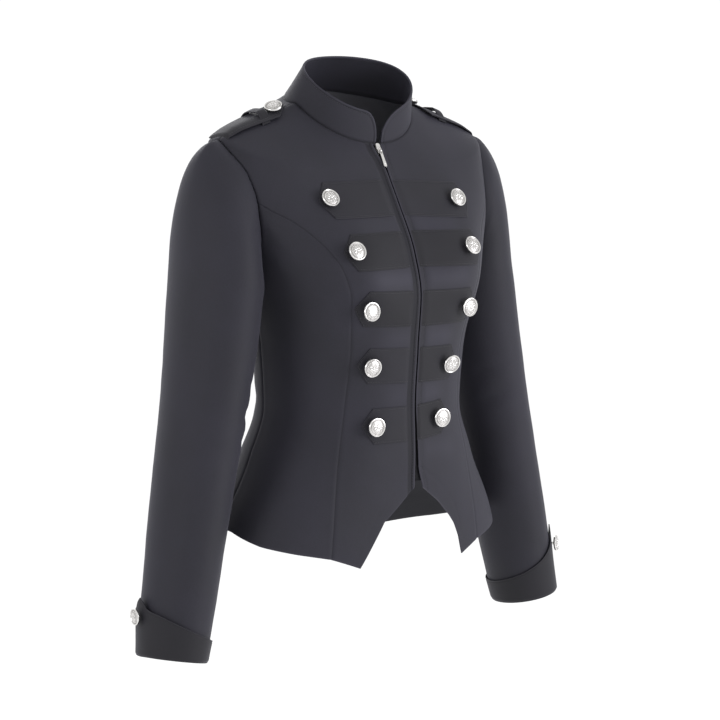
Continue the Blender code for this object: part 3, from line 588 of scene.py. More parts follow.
def cloth(name, node, columns, rows, place, thickness=0.0013, flip=False, closed=False,
          bevel=0.00035, outside=None, inside=None):
    """A piece of cloth that takes the place of a node.

    place takes arrays of u and v from 0 to 1, and gives points, seam marks, which are painted shade, and
    marks painted lighter for wear and painted highlight.
    """
    bm = bmesh.new()
    bmesh.ops.create_grid(bm, x_segments=columns, y_segments=rows, size=0.5)
    bm.verts.index_update()
    flat = np.array([v.co[:2] for v in bm.verts]) + 0.5
    points, seam, wear_and_highlight = place(flat[:, 0], flat[:, 1])
    order = np.lexsort((np.round(flat[:, 0], 6), np.round(flat[:, 1], 6)))
    grid = points[order].reshape(rows + 1, columns + 1, 3)
    across = np.cumsum(np.linalg.norm(np.diff(grid, axis=1, prepend=grid[:, :1]), axis=-1), axis=1)
    along = np.cumsum(np.linalg.norm(np.diff(grid, axis=0, prepend=grid[:1]), axis=-1), axis=0)
    place_on_cloth = np.zeros((len(flat), 2))
    place_on_cloth[order, 0] = across.ravel()
    place_on_cloth[order, 1] = np.repeat(along.mean(axis=1), columns + 1)
    uv = bm.loops.layers.uv.new("cloth")
    for face in bm.faces:
        for loop in face.loops:
            loop[uv].uv = place_on_cloth[loop.vert.index]
    # The "seam" marks are painted shade; the second marks paint the cloth lighter, as wear and painted
    # highlight.
    seam_layer, wear_and_highlight_layer = (bm.verts.layers.float.new(key) for key in ("seam", "wear_and_highlight"))
    for vert, point, s, q in zip(bm.verts, points.tolist(), seam.tolist(), wear_and_highlight.tolist()):
        vert.co, vert[seam_layer], vert[wear_and_highlight_layer] = point, s, q
    if closed:
        bmesh.ops.remove_doubles(bm, verts=bm.verts, dist=1e-6)
    if flip:
        bmesh.ops.reverse_faces(bm, faces=bm.faces)
    area = sum(face.calc_area() for face in bm.faces)
    piece = finish_piece(name, bm, [outside or CLOTH, inside or PALER_INSIDE])
    shell = piece.modifiers.new("thickness", "SOLIDIFY")
    shell.thickness, shell.offset, shell.material_offset = thickness, -1.0, 1
    if bevel:
        edge = piece.modifiers.new("soft edge", "BEVEL")
        edge.width, edge.segments, edge.limit_method, edge.angle_limit = bevel, 2, "ANGLE", math.radians(55)
    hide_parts(node)
    cut = (float(across[:, -1].max()), float(np.median(along[-1])))
    print(f"{name}: {columns} x {rows}, cut {cut[0]*1000:.0f} x {cut[1]*1000:.0f} mm, {area*1e4:.0f} sq cm")
    return piece


def groove(away, deep=0.0009, wide=0.0013):
    """A seam's section: the cloth dives in at the seam, beside a slight rise."""
    rise = 0.00016 * np.exp(-(((away - 3.2 * wide) / (1.8 * wide)) ** 2))
    return -deep * np.exp(-((away / wide) ** 2)) + rise


def mark(away, wide=0.0009):
    return np.exp(-((away / wide) ** 2))


def ease(t):
    t = np.clip(t, 0, 1)
    return t * t * (3 - 2 * t)


# %% [markdown]
# ## Body panels
#
# The jacket's shell is cut in seven panels: two centre fronts that meet at the zip, a
# side front and a side back under each arm, and one wide back. The curved seams between
# them, called princess seams, carry the shaping from the armholes over the bust to the
# hem. Each panel runs from its hem up, so the pointed hem falls on the grid's bottom row
# and one column ends exactly in the point. The two front edges differ: on the wearer's
# right a narrow lip stands beside a pressed channel, and on the left a fine lip is
# followed by one line of stitches.

# %% Front edges
PRINCESS = 0.0006  # depth of a body seam's groove
FLAT_SEAM = 0.0003  # the same on the left front, where the cloth is pulled flat
LIP, CHANNEL, STITCH_IN = 0.0037, 0.0115, 0.0068
HEM_TURN, NECK_REACH = 0.022, 0.045  # the hem's turned-up width, and metres a level near the neck


def right_edge(away):
    """Push and painted shade of the right front's edge, by the distance from it: the channel and the line
    beside the lip are painted darker.
    """
    lip = 0.00045 * np.sin(np.pi * np.clip(away / LIP, 0, 1)) ** 0.6
    sunk = -0.00080 * ease((away - LIP) / 0.0007) * ease((CHANNEL - away) / 0.0009)
    shade = 0.72 * ease((away - LIP) / 0.0007) * ease((CHANNEL - away) / 0.0009)
    return lip + sunk, np.maximum(shade, 0.85 * mark(away - LIP, 0.0007))


def left_edge(away):
    lip = 0.00040 * np.sin(np.pi * np.clip(away / 0.0022, 0, 1)) ** 0.6
    # The second value is painted shade along the stitch groove.
    return lip - 0.0004 * mark(away - STITCH_IN, 0.0007), 0.5 * mark(away - STITCH_IN, 0.0006)


# %% Panel maker
# The strength sets both how far the cloth bulges and how bright a highlight is painted on it.
PUFFS = [  # height, half width and strength on the right and left of the cloth between two bands
    (-0.096, 0.086, 0.25, 0.55), (-0.155, 0.086, 1.00, 0.85), (-0.222, 0.066, 0.60, 0.90),
    (-0.286, 0.055, 0.35, 0.80), (-0.350, 0.075, 0.10, 0.45)]


def puff(p):
    """Between its bands the front is stretched out a little and catches more light, and a highlight is
    painted there too.
    """
    x, y, z = (p[:, k] for k in range(3))
    total = 0 * x
    for height, wide, right, left in PUFFS:
        across = ease((wide - np.abs(x)) / 0.030) * ease((np.abs(x) - 0.006) / 0.012)
        total = total + np.exp(-(((z - height) / 0.0125) ** 2)) * across * np.where(x < 0, right, left)
    return total * (y < -0.05)


def panel(name, side, inner, outer, levels, knots_v, shares, knots_u, free=None):
    """A body panel between two edges. free gives the inner edge's finish where it isn't a seam."""
    def place(u, v):
        share = spread(u, knots_u, shares)
        step = spread(v, knots_v, np.arange(len(levels)), 0.45)
        level = np.interp(step, np.arange(len(levels)), levels)
        for _ in range(8):
            a = inner(level) + (outer(level) - inner(level)) * share
            start = np.where(a > 180, hem_level(360 - a, -1), hem_level(a, side or 1))
            level = np.where(step < 1, start + (levels[1] - start) * np.clip(step, 0, 1), level)
        a = (inner(level) + (outer(level) - inner(level)) * share) * (side or 1)
        here = body(a, level)
        to_inner = np.linalg.norm(here - body(inner(level) * (side or 1), level), axis=-1)
        to_outer = np.linalg.norm(here - body(outer(level) * (side or 1), level), axis=-1)
        from_hem = np.linalg.norm(here - body(a, start), axis=-1)
        # faint is how dark a seam is painted, as painted shade in its groove; the neck seam below is painted
        # fully dark.
        faint, deep = (0.10, FLAT_SEAM) if side > 0 and np.median(a) < 90 else (0.45, PRINCESS)
        out = folds(here) + groove(to_outer, deep) + 0.0010 * puff(here)
        seam = faint * mark(to_outer, 0.0007)
        if free:
            push, shade = free(to_inner)
            out, seam = out + push, np.maximum(seam, shade)
        else:
            out, seam = out + groove(to_inner, deep), np.maximum(seam, faint * mark(to_inner, 0.0007))
        neck = np.where(level > 9, (NECK - level) * NECK_REACH, 1.0)
        out, seam = out + groove(neck, 0.0006), np.maximum(seam, mark(neck, 0.0008))
        # Painted lighter: wear on the hem and the free front edge, and a painted highlight where the front
        # puffs out between its bands.
        wear_and_highlight = np.maximum(mark(from_hem, 0.0014), mark(to_inner, 0.0012) if free else 0)
        wear_and_highlight = np.maximum(wear_and_highlight, 1.2 * puff(here))
        out = out - 0.00030 * mark(from_hem - HEM_TURN, 0.0016)
        return here + body_normals(a, level) * out[:, None], seam, wear_and_highlight
    cloth(name + "_cloth", name, knots_u[-1], knots_v[-1], place, flip=side < 0, inside=PALER_INSIDE)


# A panel's levels from the hem up, and the grid row that each falls on.
TOP, TOP_ROWS = [0, 2, UNDERARM, SEAMS_END, SHOULDER, NECK], [0, 26, 74, 92, 106, 130]
LOW, LOW_ROWS = [0, 2, UNDERARM, SEAMS_END - 0.002], [0, 24, 74, 94]
for side, tag in SIDES:
    low = float(hem_level(HEM_POINT[side], side))
    tip = (HEM_POINT[side] - float(front_edge(low, side))) / float(front_outer(low) - front_edge(low, side))
    panel(f"centre_front_{tag}", side, lambda v, s=side: front_edge(v, s), front_outer, TOP, TOP_ROWS,
          [0, tip, 1], [0, 44, 60], right_edge if side < 0 else left_edge)
    panel(f"side_front_{tag}", side, lambda v: smooth(FRONT_SEAM, v, 1), arm_or_side(ARM_FRONT),
          LOW, LOW_ROWS, [0, 1], [0, 36])
    panel(f"side_back_{tag}", side, arm_or_side(ARM_BACK), lambda v: smooth(BACK_SEAM, v, 1),
          LOW, LOW_ROWS, [0, 1], [0, 36])
panel("back", 0, back_outer, lambda v: 360.0 - back_outer(v), TOP, TOP_ROWS, [0, 0.5, 1], [0, 40, 80])

# %% [markdown]
# ## Sleeves
#
# A tailored sleeve is a tube of two pieces whose top, the head, is a little longer than
# the armhole it is sewn to, so it stands out softly over the seam. The rings below give
# each arm's line and width. The tube starts from the armhole seam itself, which keeps
# sleeve and body closed, and turns down into the first ring. Its two long seams lie at
# the front inside and the back outside.

# %% Arm tables
ARM = {  # z, then x, y, half width across and half depth front to back
    "R": [
        (-0.165, 0.1920, -0.006, 0.0465, 0.0650),
        (-0.235, 0.2020, -0.008, 0.0455, 0.0610),
        (-0.300, 0.2135, -0.010, 0.0433, 0.0565),
        (-0.380, 0.2290, -0.012, 0.0415, 0.0525),
        (-0.460, 0.2445, -0.015, 0.0395, 0.0485),
        (-0.530, 0.2578, -0.018, 0.0375, 0.0450),
        (-0.567, 0.2650, -0.020, 0.0360, 0.0425),
    ],
    "L": [
        (-0.165, 0.1890, 0.001, 0.0455, 0.0615),
        (-0.235, 0.1990, -0.003, 0.0450, 0.0595),
        (-0.300, 0.2110, -0.006, 0.0430, 0.0560),
        (-0.380, 0.2275, -0.010, 0.0415, 0.0525),
        (-0.460, 0.2440, -0.015, 0.0395, 0.0485),
        (-0.530, 0.2580, -0.018, 0.0375, 0.0450),
        (-0.560, 0.2645, -0.020, 0.0360, 0.0425),
    ],
}
ARM_X, ARM_Y, ARM_WIDE, ARM_DEEP = 1, 2, 3, 4  # columns of the tables
ARM_TOP = -0.165
INNER_SEAM, OUTER_SEAM = -42.0, 226.0  # degrees round the arm

# %% Sleeve surface
def arm_centre(tag, z):
    return np.stack([smooth(ARM[tag], z, ARM_X), smooth(ARM[tag], z, ARM_Y), np.asarray(z, float)], -1)


def arm_ring(tag, turned, z, extra=0.0):
    """A sleeve ring, square to the arm. 0 degrees is next to the body and 90 is in front."""
    t = np.radians(turned)
    end = ARM[tag][-1][0]
    run = arm_centre(tag, np.clip(z + 0.01, end, ARM_TOP)) - arm_centre(tag, np.clip(z - 0.01, end, ARM_TOP))
    run /= np.linalg.norm(run, axis=-1, keepdims=True)
    across = np.array([1.0, 0, 0]) - run * run[..., :1]
    across /= np.linalg.norm(across, axis=-1, keepdims=True)
    deep = np.cross(run, across)
    wide, long = smooth(ARM[tag], z, ARM_WIDE) + extra, smooth(ARM[tag], z, ARM_DEEP) + extra
    return (arm_centre(tag, z) - across * (wide * np.cos(t))[..., None]
            - deep * (long * np.sin(t))[..., None])


def armhole(turned):
    """The armhole seam, read round in the sleeve's degrees."""
    t = np.radians(turned)
    level = 7.0 - np.cos(t)
    return body(np.where(np.sin(t) >= 0, smooth(ARM_FRONT, level, 1), smooth(ARM_BACK, level, 1)), level)


def crown(tag, turned, share):
    """The sleeve's head, from the armhole out over the shoulder to the first full ring."""
    t = np.radians(turned)
    start, end = armhole(turned), arm_ring(tag, turned, np.full_like(t, ARM_TOP))
    top = 0.5 - 0.5 * np.cos(t)  # 0 under the arm, 1 on the shoulder
    reach = np.linalg.norm(end - start, axis=-1)
    out = np.stack([0.25 + 0.75 * top, -0.30 * np.sin(t), -0.75 + 0.72 * top], -1)
    out /= np.linalg.norm(out, axis=-1, keepdims=True)
    out *= (reach * (0.70 + 0.18 * top))[..., None]
    down = arm_ring(tag, turned, np.full_like(t, ARM_TOP - 0.01)) - end
    down *= (reach / 0.01)[..., None]
    s = np.asarray(share, float)[..., None]
    return ((2 * s**3 - 3 * s**2 + 1) * start + (s**3 - 2 * s**2 + s) * out
            + (3 * s**2 - 2 * s**3) * end + (s**3 - s**2) * down)


def sleeve_point(tag, turned, run):
    """A sleeve: run is 0 at the armhole, 1 at the first full ring and 2 at its end."""
    low = arm_ring(tag, turned, ARM_TOP + (ARM[tag][-1][0] - ARM_TOP) * np.clip(run - 1, 0, 1))
    return np.where((run < 1)[..., None], crown(tag, turned, np.clip(run, 0, 1)), low)


def away_from(surface, u, v, du, dv, low, high):
    """Unit normals that point out of a tube read in degrees and a run down it."""
    across = surface(u + du, v) - surface(u - du, v)
    along = surface(u, np.minimum(v + dv, high)) - surface(u, np.maximum(v - dv, low))
    n = np.cross(along, across)
    return n / np.maximum(np.linalg.norm(n, axis=-1, keepdims=True), 1e-12)


def mirrored(points, side):
    return points * np.array([side, 1.0, 1.0])


print("arm lengths", {tag: round(ARM_TOP - rows[-1][0], 3) for tag, rows in ARM.items()})

# %% Sleeves
SET_IN = {"R": 0.0008, "L": 0.0003}  # depth of the armhole seam


def sleeve(tag, side):
    def place(u, v):
        turned = INNER_SEAM + 360 * spread(u, [0, 74, 100], [0, (OUTER_SEAM - INNER_SEAM) / 360, 1], 0.75)
        run = spread(v, [0, 36, 116], [0, 1, 2], 0.35)
        here = sleeve_point(tag, turned, run)
        n = away_from(lambda a, b: sleeve_point(tag, a, b), turned, run, 0.4, 0.01, 0.0, 2.0)
        radius = 0.5 * (smooth(ARM[tag], here[:, 2], ARM_WIDE) + smooth(ARM[tag], here[:, 2], ARM_DEEP))
        seams = np.radians(np.minimum.reduce([np.abs(turned - INNER_SEAM), np.abs(turned - OUTER_SEAM),
                                              np.abs(turned - INNER_SEAM - 360)])) * radius
        from_body = np.linalg.norm(here - sleeve_point(tag, turned, 0 * run), axis=-1)
        top = 0.5 - 0.5 * np.cos(np.radians(turned))
        head = 0.0011 * top * np.exp(-(((from_body - 0.011) / 0.008) ** 2))
        ease_in = (0.00022 * np.sin(np.radians(turned) * 26) * np.exp(-from_body / 0.012)
                   * ease(from_body / 0.003))
        fade = ease((from_body - 0.002) / 0.012)
        out = (folds(mirrored(here, side)) * fade + groove(seams, 0.0004)
               + groove(from_body, SET_IN[tag]) + head + ease_in)
        # Painted shade along the two long seams and the armhole seam, darker where the armhole groove is
        # deeper.
        seam = np.maximum(0.22 * mark(seams, 0.0007), SET_IN[tag] * 800 * mark(from_body, 0.0008))
        return mirrored(here + n * out[:, None], side), seam, 0 * u
    cloth(f"sleeve_{tag}_cloth", f"sleeve_{tag}", 100, 116, place, flip=side > 0, closed=True)


for side, tag in SIDES:
    sleeve(tag, side)

# %% [markdown]
# ## Cuffs
#
# Each cuff is the sleeve's end turned back on itself. Its upper edge climbs to a point on
# the outer side, where it leans away from the sleeve and a button holds it. A turned
# edge is soft, so the cuff's lower edge is rolled in and its upper edge pressed thin.

# %% Cuffs
CUFF = [(0, 0.068), (8, 0.062), (15, 0.0545), (40, 0.0455), (62, 0.039), (100, 0.030),
        (150, 0.0235), (180, 0.0225)]  # degrees from the point, height
CUFF_POINT = {"R": -12.0, "L": 43.0}
CUFF_PEAK = {"R": 0.90, "L": 1.07}  # share of the table's height that the point keeps
CUFF_HIGH = {"R": 1.0, "L": 1.09}
CUFF_LIFT = {"R": 0.0062, "L": 0.0008}  # how far the point leans off the sleeve
CUFF_OFF, CUFF_TALL, CUFF_TUCK = 0.0023, CUFF[0][1], -0.03  # off the sleeve, full height, share rolled in


def cuff_place(tag, turned, share):
    """A cuff's outside: degrees round the arm, and share of the way up from its lower edge."""
    away = np.abs((turned - (180 - CUFF_POINT[tag]) + 180) % 360 - 180)
    height = CUFF_HIGH[tag] * smooth(CUFF, away, 1) * (1 - (1 - CUFF_PEAK[tag]) * np.exp(-((away / 30) ** 2)))
    z = ARM[tag][-1][0] + share * height
    flare = CUFF_OFF + CUFF_LIFT[tag] * np.clip(height / CUFF_TALL, 0, 1) ** 2 * np.clip(share, 0, 1) ** 1.5
    return arm_ring(tag, turned, z, flare)


def cuff(tag, side):
    def place(u, v):
        turned = -CUFF_POINT[tag] + 360 * spread(u, [0, 60, 120], [0, 0.5, 1], 0.72)
        share = CUFF_TUCK + 1.03 * spread(v, [0, 30], [0, 1], 0.5)
        here = cuff_place(tag, turned, share)
        n = -away_from(lambda a, b: cuff_place(tag, a, b), turned, share, 0.4, 0.01, CUFF_TUCK, 1.0)
        low = np.linalg.norm(here - cuff_place(tag, turned, 0 * share + CUFF_TUCK), axis=-1)
        high = np.linalg.norm(here - cuff_place(tag, turned, 0 * share + 1), axis=-1)
        roll = -0.0013 * (1 - ease(low / 0.004)) ** 1.5
        out = roll + 0.6 * undulation(mirrored(here, side)) - 0.0003 * mark(high - 0.0016, 0.0007)
        # Painted shade along the stitches below the upper edge, and the upper edge painted lighter, as wear
        # and painted highlight.
        return mirrored(here + n * out[:, None], side), 0.35 * mark(high - 0.0016, 0.0006), mark(high, 0.0009)
    cloth(f"cuff_{tag}_cloth", f"cuff_{tag}", 120, 30, place, thickness=0.0012, flip=side < 0,
          closed=True, outside=CROSSWISE_TONE_AND_SHADE, inside=CLOTH)


for side, tag in SIDES:
    cuff(tag, side)

# %% [markdown]
# ## Stand collar
#
# The collar is a double band of cloth with stiffening between its layers, so it is
# thicker than the rest and its edge is a rounded rim. It leans in towards the neck, falls
# to the front and ends in two round corners above the zip. One line of stitches follows
# the rim.

# %% Collar
COLLAR_HALF_WIDTH, COLLAR_FRONT, COLLAR_BACK = 0.0725, -0.0609, 0.0180
COLLAR_TOP_FRONT, COLLAR_TOP_SIDE, COLLAR_TOP_BACK = 0.0285, 0.0690, 0.0910
COLLAR_CORNER, COLLAR_CORNER_RISE = {"L": 46.0, "R": 27.0}, {"L": 0.22, "R": 0.20}
COLLAR_STITCH = 0.0034
COLLAR_GAP = 0.004  # from the middle to each front end
# It starts this share of its height below the neck seam, so that no light comes through.
COLLAR_FOOT = -0.05
COLLAR_START = math.degrees(math.atan2(COLLAR_GAP, MIDDLE_Y - BODY[-1][Y_FRONT]))


def collar(angle, share):
    """The stand collar: degrees round, and share of the way up."""
    a = np.radians(angle)
    c, s = np.cos(a), np.sin(a)
    foot = body(angle, np.full_like(a, NECK))
    middle, deep = (COLLAR_FRONT + COLLAR_BACK) / 2, (COLLAR_BACK - COLLAR_FRONT) / 2
    r = 1 / np.hypot(c / deep, s / COLLAR_HALF_WIDTH)
    back = -r * c / deep  # -1 at the front, 1 at the back
    slope = (COLLAR_TOP_BACK - COLLAR_TOP_FRONT) / 2
    bend = (COLLAR_TOP_BACK + COLLAR_TOP_FRONT) / 2 - COLLAR_TOP_SIDE
    z = COLLAR_TOP_SIDE + slope * back + bend * back**2
    top = np.stack([r * s, middle - r * c, z], -1)
    return foot + (top - foot) * np.asarray(share, float)[..., None]


def collar_full(angle):
    """How high the collar reaches, which falls away round its front corners."""
    full = 1.0
    for tag, from_end in (("L", angle - COLLAR_START), ("R", 360 - COLLAR_START - angle)):
        t, low = np.clip(from_end / COLLAR_CORNER[tag], 0, 1), COLLAR_CORNER_RISE[tag]
        full = np.minimum(full, low + (1 - low) * np.clip(1 - (1 - t) ** 2.2, 0, 1) ** 0.55)
    return full


def collar_rim(angle):
    return collar(angle, collar_full(angle))


rim = collar_rim(np.linspace(COLLAR_START, 360 - COLLAR_START, 1441))
rim = np.concatenate([collar(np.full(24, COLLAR_START), np.linspace(0, COLLAR_CORNER_RISE["L"], 24)), rim,
                      collar(np.full(24, 360 - COLLAR_START), np.linspace(COLLAR_CORNER_RISE["R"], 0, 24))])


def to_line(points, line):
    """Each point's distance to the nearest point of a line."""
    return np.array([np.sqrt(((line - p) ** 2).sum(axis=1).min()) for p in points])


def place_collar(u, v):
    near, far = COLLAR_START, 360 - COLLAR_START
    left, right = COLLAR_CORNER["L"], COLLAR_CORNER["R"]
    angle = np.interp(u, [0, 0.03, 0.09, 0.18, 0.85, 0.93, 0.98, 1],
                      [near, near + 0.06 * left, near + 0.35 * left, near + left,
                       far - right, far - 0.35 * right, far - 0.06 * right, far])
    share = COLLAR_FOOT + (collar_full(angle) - COLLAR_FOOT) * spread(v, [0, 26], [0, 1], 0.5)
    here = collar(angle, share)
    n = normals(collar, angle, share, dv=0.01)
    edge = to_line(here, rim)
    foot = np.linalg.norm(here - collar(angle, 0 * share), axis=-1)
    out = 0.0009 - 0.00040 * mark(edge - COLLAR_STITCH, 0.0008) + 0.0003 * np.sin(
        np.pi * np.clip(edge / COLLAR_STITCH, 0, 1)) * (edge < COLLAR_STITCH) + 0.4 * undulation(here)
    out = out - 0.0010 * mark(foot, 0.0016)
    # Painted shade along the stitches and fully dark down in the foot seam; the rim is painted lighter, as
    # wear and painted highlight.
    seam = np.maximum(0.45 * mark(edge - COLLAR_STITCH, 0.0006), mark(foot, 0.0012))
    return here + n * out[:, None], seam, mark(edge, 0.0013)


cloth("collar_cloth", "collar", 200, 26, place_collar, thickness=0.0021, bevel=0.0008, inside=CLOTH)
print("collar rim", round(float(np.linalg.norm(np.diff(rim, axis=0), axis=1).sum()) * 1000), "mm long")

# %% [markdown]
# ## Bands
#
# Five wide bands run from each side of the zip out to a button, and end in a blunt point
# under it. They are folded strips, pressed flat and stitched down, so only their edges
# and ends show. They are cut across the cloth, which turns their ribs and gives them a
# slightly warmer grey; their darker tone is painted shade, for the weaker sheen of ribs
# that run across, and the bands that stand in more light get a less shaded copy. Each
# follows the front at a small height, with edges pressed down to the panel.

# %% Band shape
ROWS = [  # z of the band at the front edge, z and x of the button, each on the right and left
    (-0.0670, -0.0680, -0.0720, 0.0930, 0.0935),
    (-0.1230, -0.1245, -0.1245, 0.0835, 0.0885),
    (-0.1890, -0.1865, -0.1890, 0.0715, 0.0735),
    (-0.2530, -0.2510, -0.2530, 0.0600, 0.0530),
    (-0.3185, -0.3190, -0.3150, 0.0530, 0.0390),
]
BAND, BAND_POINT, BAND_CHAMFER = 0.040, 0.015, 0.013
BAND_TOP, BAND_STITCH = 0.0013, 0.0021
LEFT_START = 0.0026  # where the left bands begin, beside the zip
EDGE_ROLL = 0.0012  # how far in from an edge it is pressed down
# Which copy each band gets is painted light: the less shaded copy goes to the bands that stand in more light.
BAND_LOOKS = {"R": [CROSSWISE_TONE_LESS_SHADE, CROSSWISE_TONE_AND_SHADE, CROSSWISE_TONE_AND_SHADE, CROSSWISE_TONE_LESS_SHADE, CROSSWISE_TONE_LESS_SHADE],
              "L": [CROSSWISE_TONE_LESS_SHADE, CROSSWISE_TONE_AND_SHADE, CROSSWISE_TONE_AND_SHADE, CROSSWISE_TONE_AND_SHADE, CROSSWISE_TONE_AND_SHADE]}


def seat(side, row):
    """z and x of a front button."""
    return (ROWS[row][1], ROWS[row][3]) if side < 0 else (ROWS[row][2], ROWS[row][4])


def band_point(side, row, share, high):
    """x and z on a band: share of the way out to its end, and height from -0.5 to 0.5."""
    z_button, x_button = seat(side, row)
    start = CHANNEL if side < 0 else LEFT_START
    end = x_button + BAND_POINT - BAND_CHAMFER * (2 * np.abs(high)) ** 1.15
    x = start + (end - start) * share
    return side * x, ROWS[row][0] + (z_button - ROWS[row][0]) * x / x_button + high * BAND


def band(tag, side, row):
    def place(u, v):
        share = spread(u, [0, 40], [0, 1], 0.75)
        high = spread(v, [0, 20], [0, 1], 0.75) - 0.5
        x, z = band_point(side, row, share, high)
        a, level = on_front(x, z)
        along = BAND * (0.5 - np.abs(high))
        z_button, x_button = seat(side, row)
        end = (1 - share) * (x_button + BAND_POINT)
        edge = np.minimum(along, 0.92 * end)
        out = BAND_TOP * (0.25 + 0.75 * ease(share / 0.10)) - 0.0005 * (1 - ease(edge / EDGE_ROLL))
        out = out - 0.0003 * mark(edge - BAND_STITCH, 0.0006)
        out = out + folds(body(a, level))
        near = np.hypot(x - side * x_button, z - z_button)
        out = out - 0.0006 * np.exp(-((near / 0.009) ** 2))
        # The second value is painted shade along the stitches; the third paints the edges lighter, as wear
        # and painted highlight.
        return off_body(a, level, out), 0.15 * mark(edge - BAND_STITCH, 0.0005), 0.3 * mark(edge, 0.0008)
    cloth(f"band_{tag}{row + 1}_cloth", f"band_{tag}{row + 1}", 40, 20, place, thickness=0.0011,
          flip=side < 0,
          outside=BAND_LOOKS[tag][row], inside=CROSSWISE_TONE_AND_SHADE)


for side, tag in SIDES:
    for row in range(5):
        band(tag, side, row)

# %% [markdown]
# ## Shoulder straps
#
# A strap is sewn in at the sleeve seam and lies along the shoulder to a point beside the
# collar, where a button holds it. It passes under a narrow loop. It is stiffer than the
# shoulder, so it lies flatter and its long edges stand clear of it, which is where the
# dark line under its front edge comes from.

# %% Strap shape
STRAP_OUT, STRAP_IN, STRAP_WIDE, STRAP_NARROW = 0.1838, 0.090, 0.0185, 0.0180
STRAP_Y, STRAP_TURN, STRAP_LIFT, REST, TRIM = 0.0035, 0.0035, 0.0024, 0.0008, 0.0012
STRAP_TIP = 0.021  # how much shorter its long edges are than its middle
STRAP_STITCH, LOOP_STITCH = 0.0024, 0.0018  # from their edges
LOOP_X, LOOP_WIDTH, LOOP_FRONT, LOOP_BACK, LOOP_RISE = 0.130, 0.011, -0.0195, 0.0235, 0.0068
STRAP_BUTTON_X = 0.1045


def on_top(x, y):
    """The degrees and level of the top of a shoulder at x and y."""
    x, y = np.broadcast_arrays(np.asarray(x, float), np.asarray(y, float))
    levels = np.linspace(SHOULDER + 0.02, 9.9, 96)
    level = np.interp(-x, -smooth(BODY, levels, HALF_WIDTH), levels)
    return find((0, 1), np.stack([x, y], -1), 90.0 + (y - MIDDLE_Y) * 300, level)


def shoulder_height(x, y):
    a, v = on_top(x, y)
    return body(a, v)[..., 2]


def strap_middle(x):
    """y of a strap's middle line, which runs a little forward."""
    return STRAP_Y - STRAP_TURN * (STRAP_OUT - x) / (STRAP_OUT - STRAP_IN)


def strap_gap(x, y):
    """How far the strap's underside stands off the shoulder. Its sleeve end dips into the seam."""
    free = ease((STRAP_OUT - x) / 0.022)
    drop = shoulder_height(x, strap_middle(x)) - shoulder_height(x, y)
    dip = 0.0032 * (1 - ease((STRAP_OUT - x) / 0.0065))
    return REST + (STRAP_LIFT - REST + 0.15 * np.maximum(drop, 0)) * free - dip


def strap_xy(run, high):
    """x and y on a strap: run from the sleeve to the point, and height from -1 to 1."""
    y = STRAP_Y - STRAP_TURN * run + (STRAP_WIDE + (STRAP_NARROW - STRAP_WIDE) * run) * high
    out = STRAP_OUT - 8.5 * (STRAP_Y + STRAP_WIDE * high - MIDDLE_Y) ** 2  # just inside the sleeve seam
    return out + (STRAP_IN + STRAP_TIP * np.abs(high) ** 1.2 - out) * run, y


def strap(tag, side):
    def place(u, v):
        run, high = spread(u, [0, 40], [0, 1], 0.7), 2 * spread(v, [0, 20], [0, 1], 0.75) - 1
        x, y = strap_xy(run, high)
        a, level = on_top(x, y)
        edge = np.minimum(STRAP_NARROW * (1 - np.abs(high)), 0.088 * (1 - run) * 0.9)
        out = (strap_gap(x, y) + TRIM - 0.0004 * (1 - ease(edge / EDGE_ROLL))
               - 0.0003 * mark(edge - STRAP_STITCH, 0.0006))
        near = np.hypot(x - STRAP_BUTTON_X, y - strap_middle(STRAP_BUTTON_X))
        out = out - 0.0005 * np.exp(-((near / 0.008) ** 2))
        # Painted shade along the stitches, and the edges painted lighter, as wear and painted highlight.
        seam = 0.40 * mark(edge - STRAP_STITCH, 0.0005)
        return mirrored(off_body(a, level, out), side), seam, mark(edge, 0.0009)
    cloth(f"epaulette_{tag}_cloth", f"epaulette_{tag}", 40, 20, place, thickness=0.0012, flip=side > 0,
          outside=CROSSWISE_TONE_AND_SHADE, inside=CLOTH)


def loop_place(side):
    def place(u, v):
        x = LOOP_X + LOOP_WIDTH * (spread(u, [0, 12], [0, 1], 0.6) - 0.5)
        y = LOOP_FRONT + (LOOP_BACK - LOOP_FRONT) * v
        edge = LOOP_WIDTH * (0.5 - np.abs((x - LOOP_X) / LOOP_WIDTH))
        arch = LOOP_RISE * (1 - np.abs(2 * v - 1) ** 4)
        z = shoulder_height(x, y) + REST + arch + 0.0014 - 0.0004 * (1 - ease(edge / EDGE_ROLL))
        z = z - 0.0003 * mark(edge - LOOP_STITCH, 0.0005)
        # Painted shade along the stitches, and the edges painted lighter, as wear and painted highlight.
        seam = 0.4 * mark(edge - LOOP_STITCH, 0.0005)
        return mirrored(np.stack([x, y, z], -1), side), seam, mark(edge, 0.0008)
    return place


for side, tag in SIDES:
    strap(tag, side)
    cloth(f"epaulette_loop_{tag}_cloth", f"epaulette_loop_{tag}", 12, 40, loop_place(side), thickness=0.0013,
          flip=side < 0,
          outside=CROSSWISE_TONE_AND_SHADE, inside=CLOTH)

# %% [markdown]
# ## Stitches
#
# A line of machine stitches is a row of short thread lengths that dip into the cloth at
# both ends. Each one here is a small stretched ball with few faces, half sunk in the
# cloth, and all the stitches of a line are one piece. They are the cloth's own colour, so
# they catch the light rather than stand out.

# %% Stitch maker
SUNK = 0.0001  # how far a stitch's middle stands off its line
STRAP_LINE, STRAP_END = 0.845, 0.965  # where the strap's stitches run, as shares of its width and length


def turned_to(x, y, z):
    """The turn that brings the three axes onto these unit vectors."""
    return Matrix((x, y, z)).transposed().to_4x4()


def ball(bm, where, size, segments, rings):
    """A ball at a place and turn, stretched to a half size along each of its axes."""
    bmesh.ops.create_uvsphere(bm, u_segments=segments, v_segments=rings, radius=1.0,
                              matrix=where @ Matrix.Diagonal((*size, 1)))


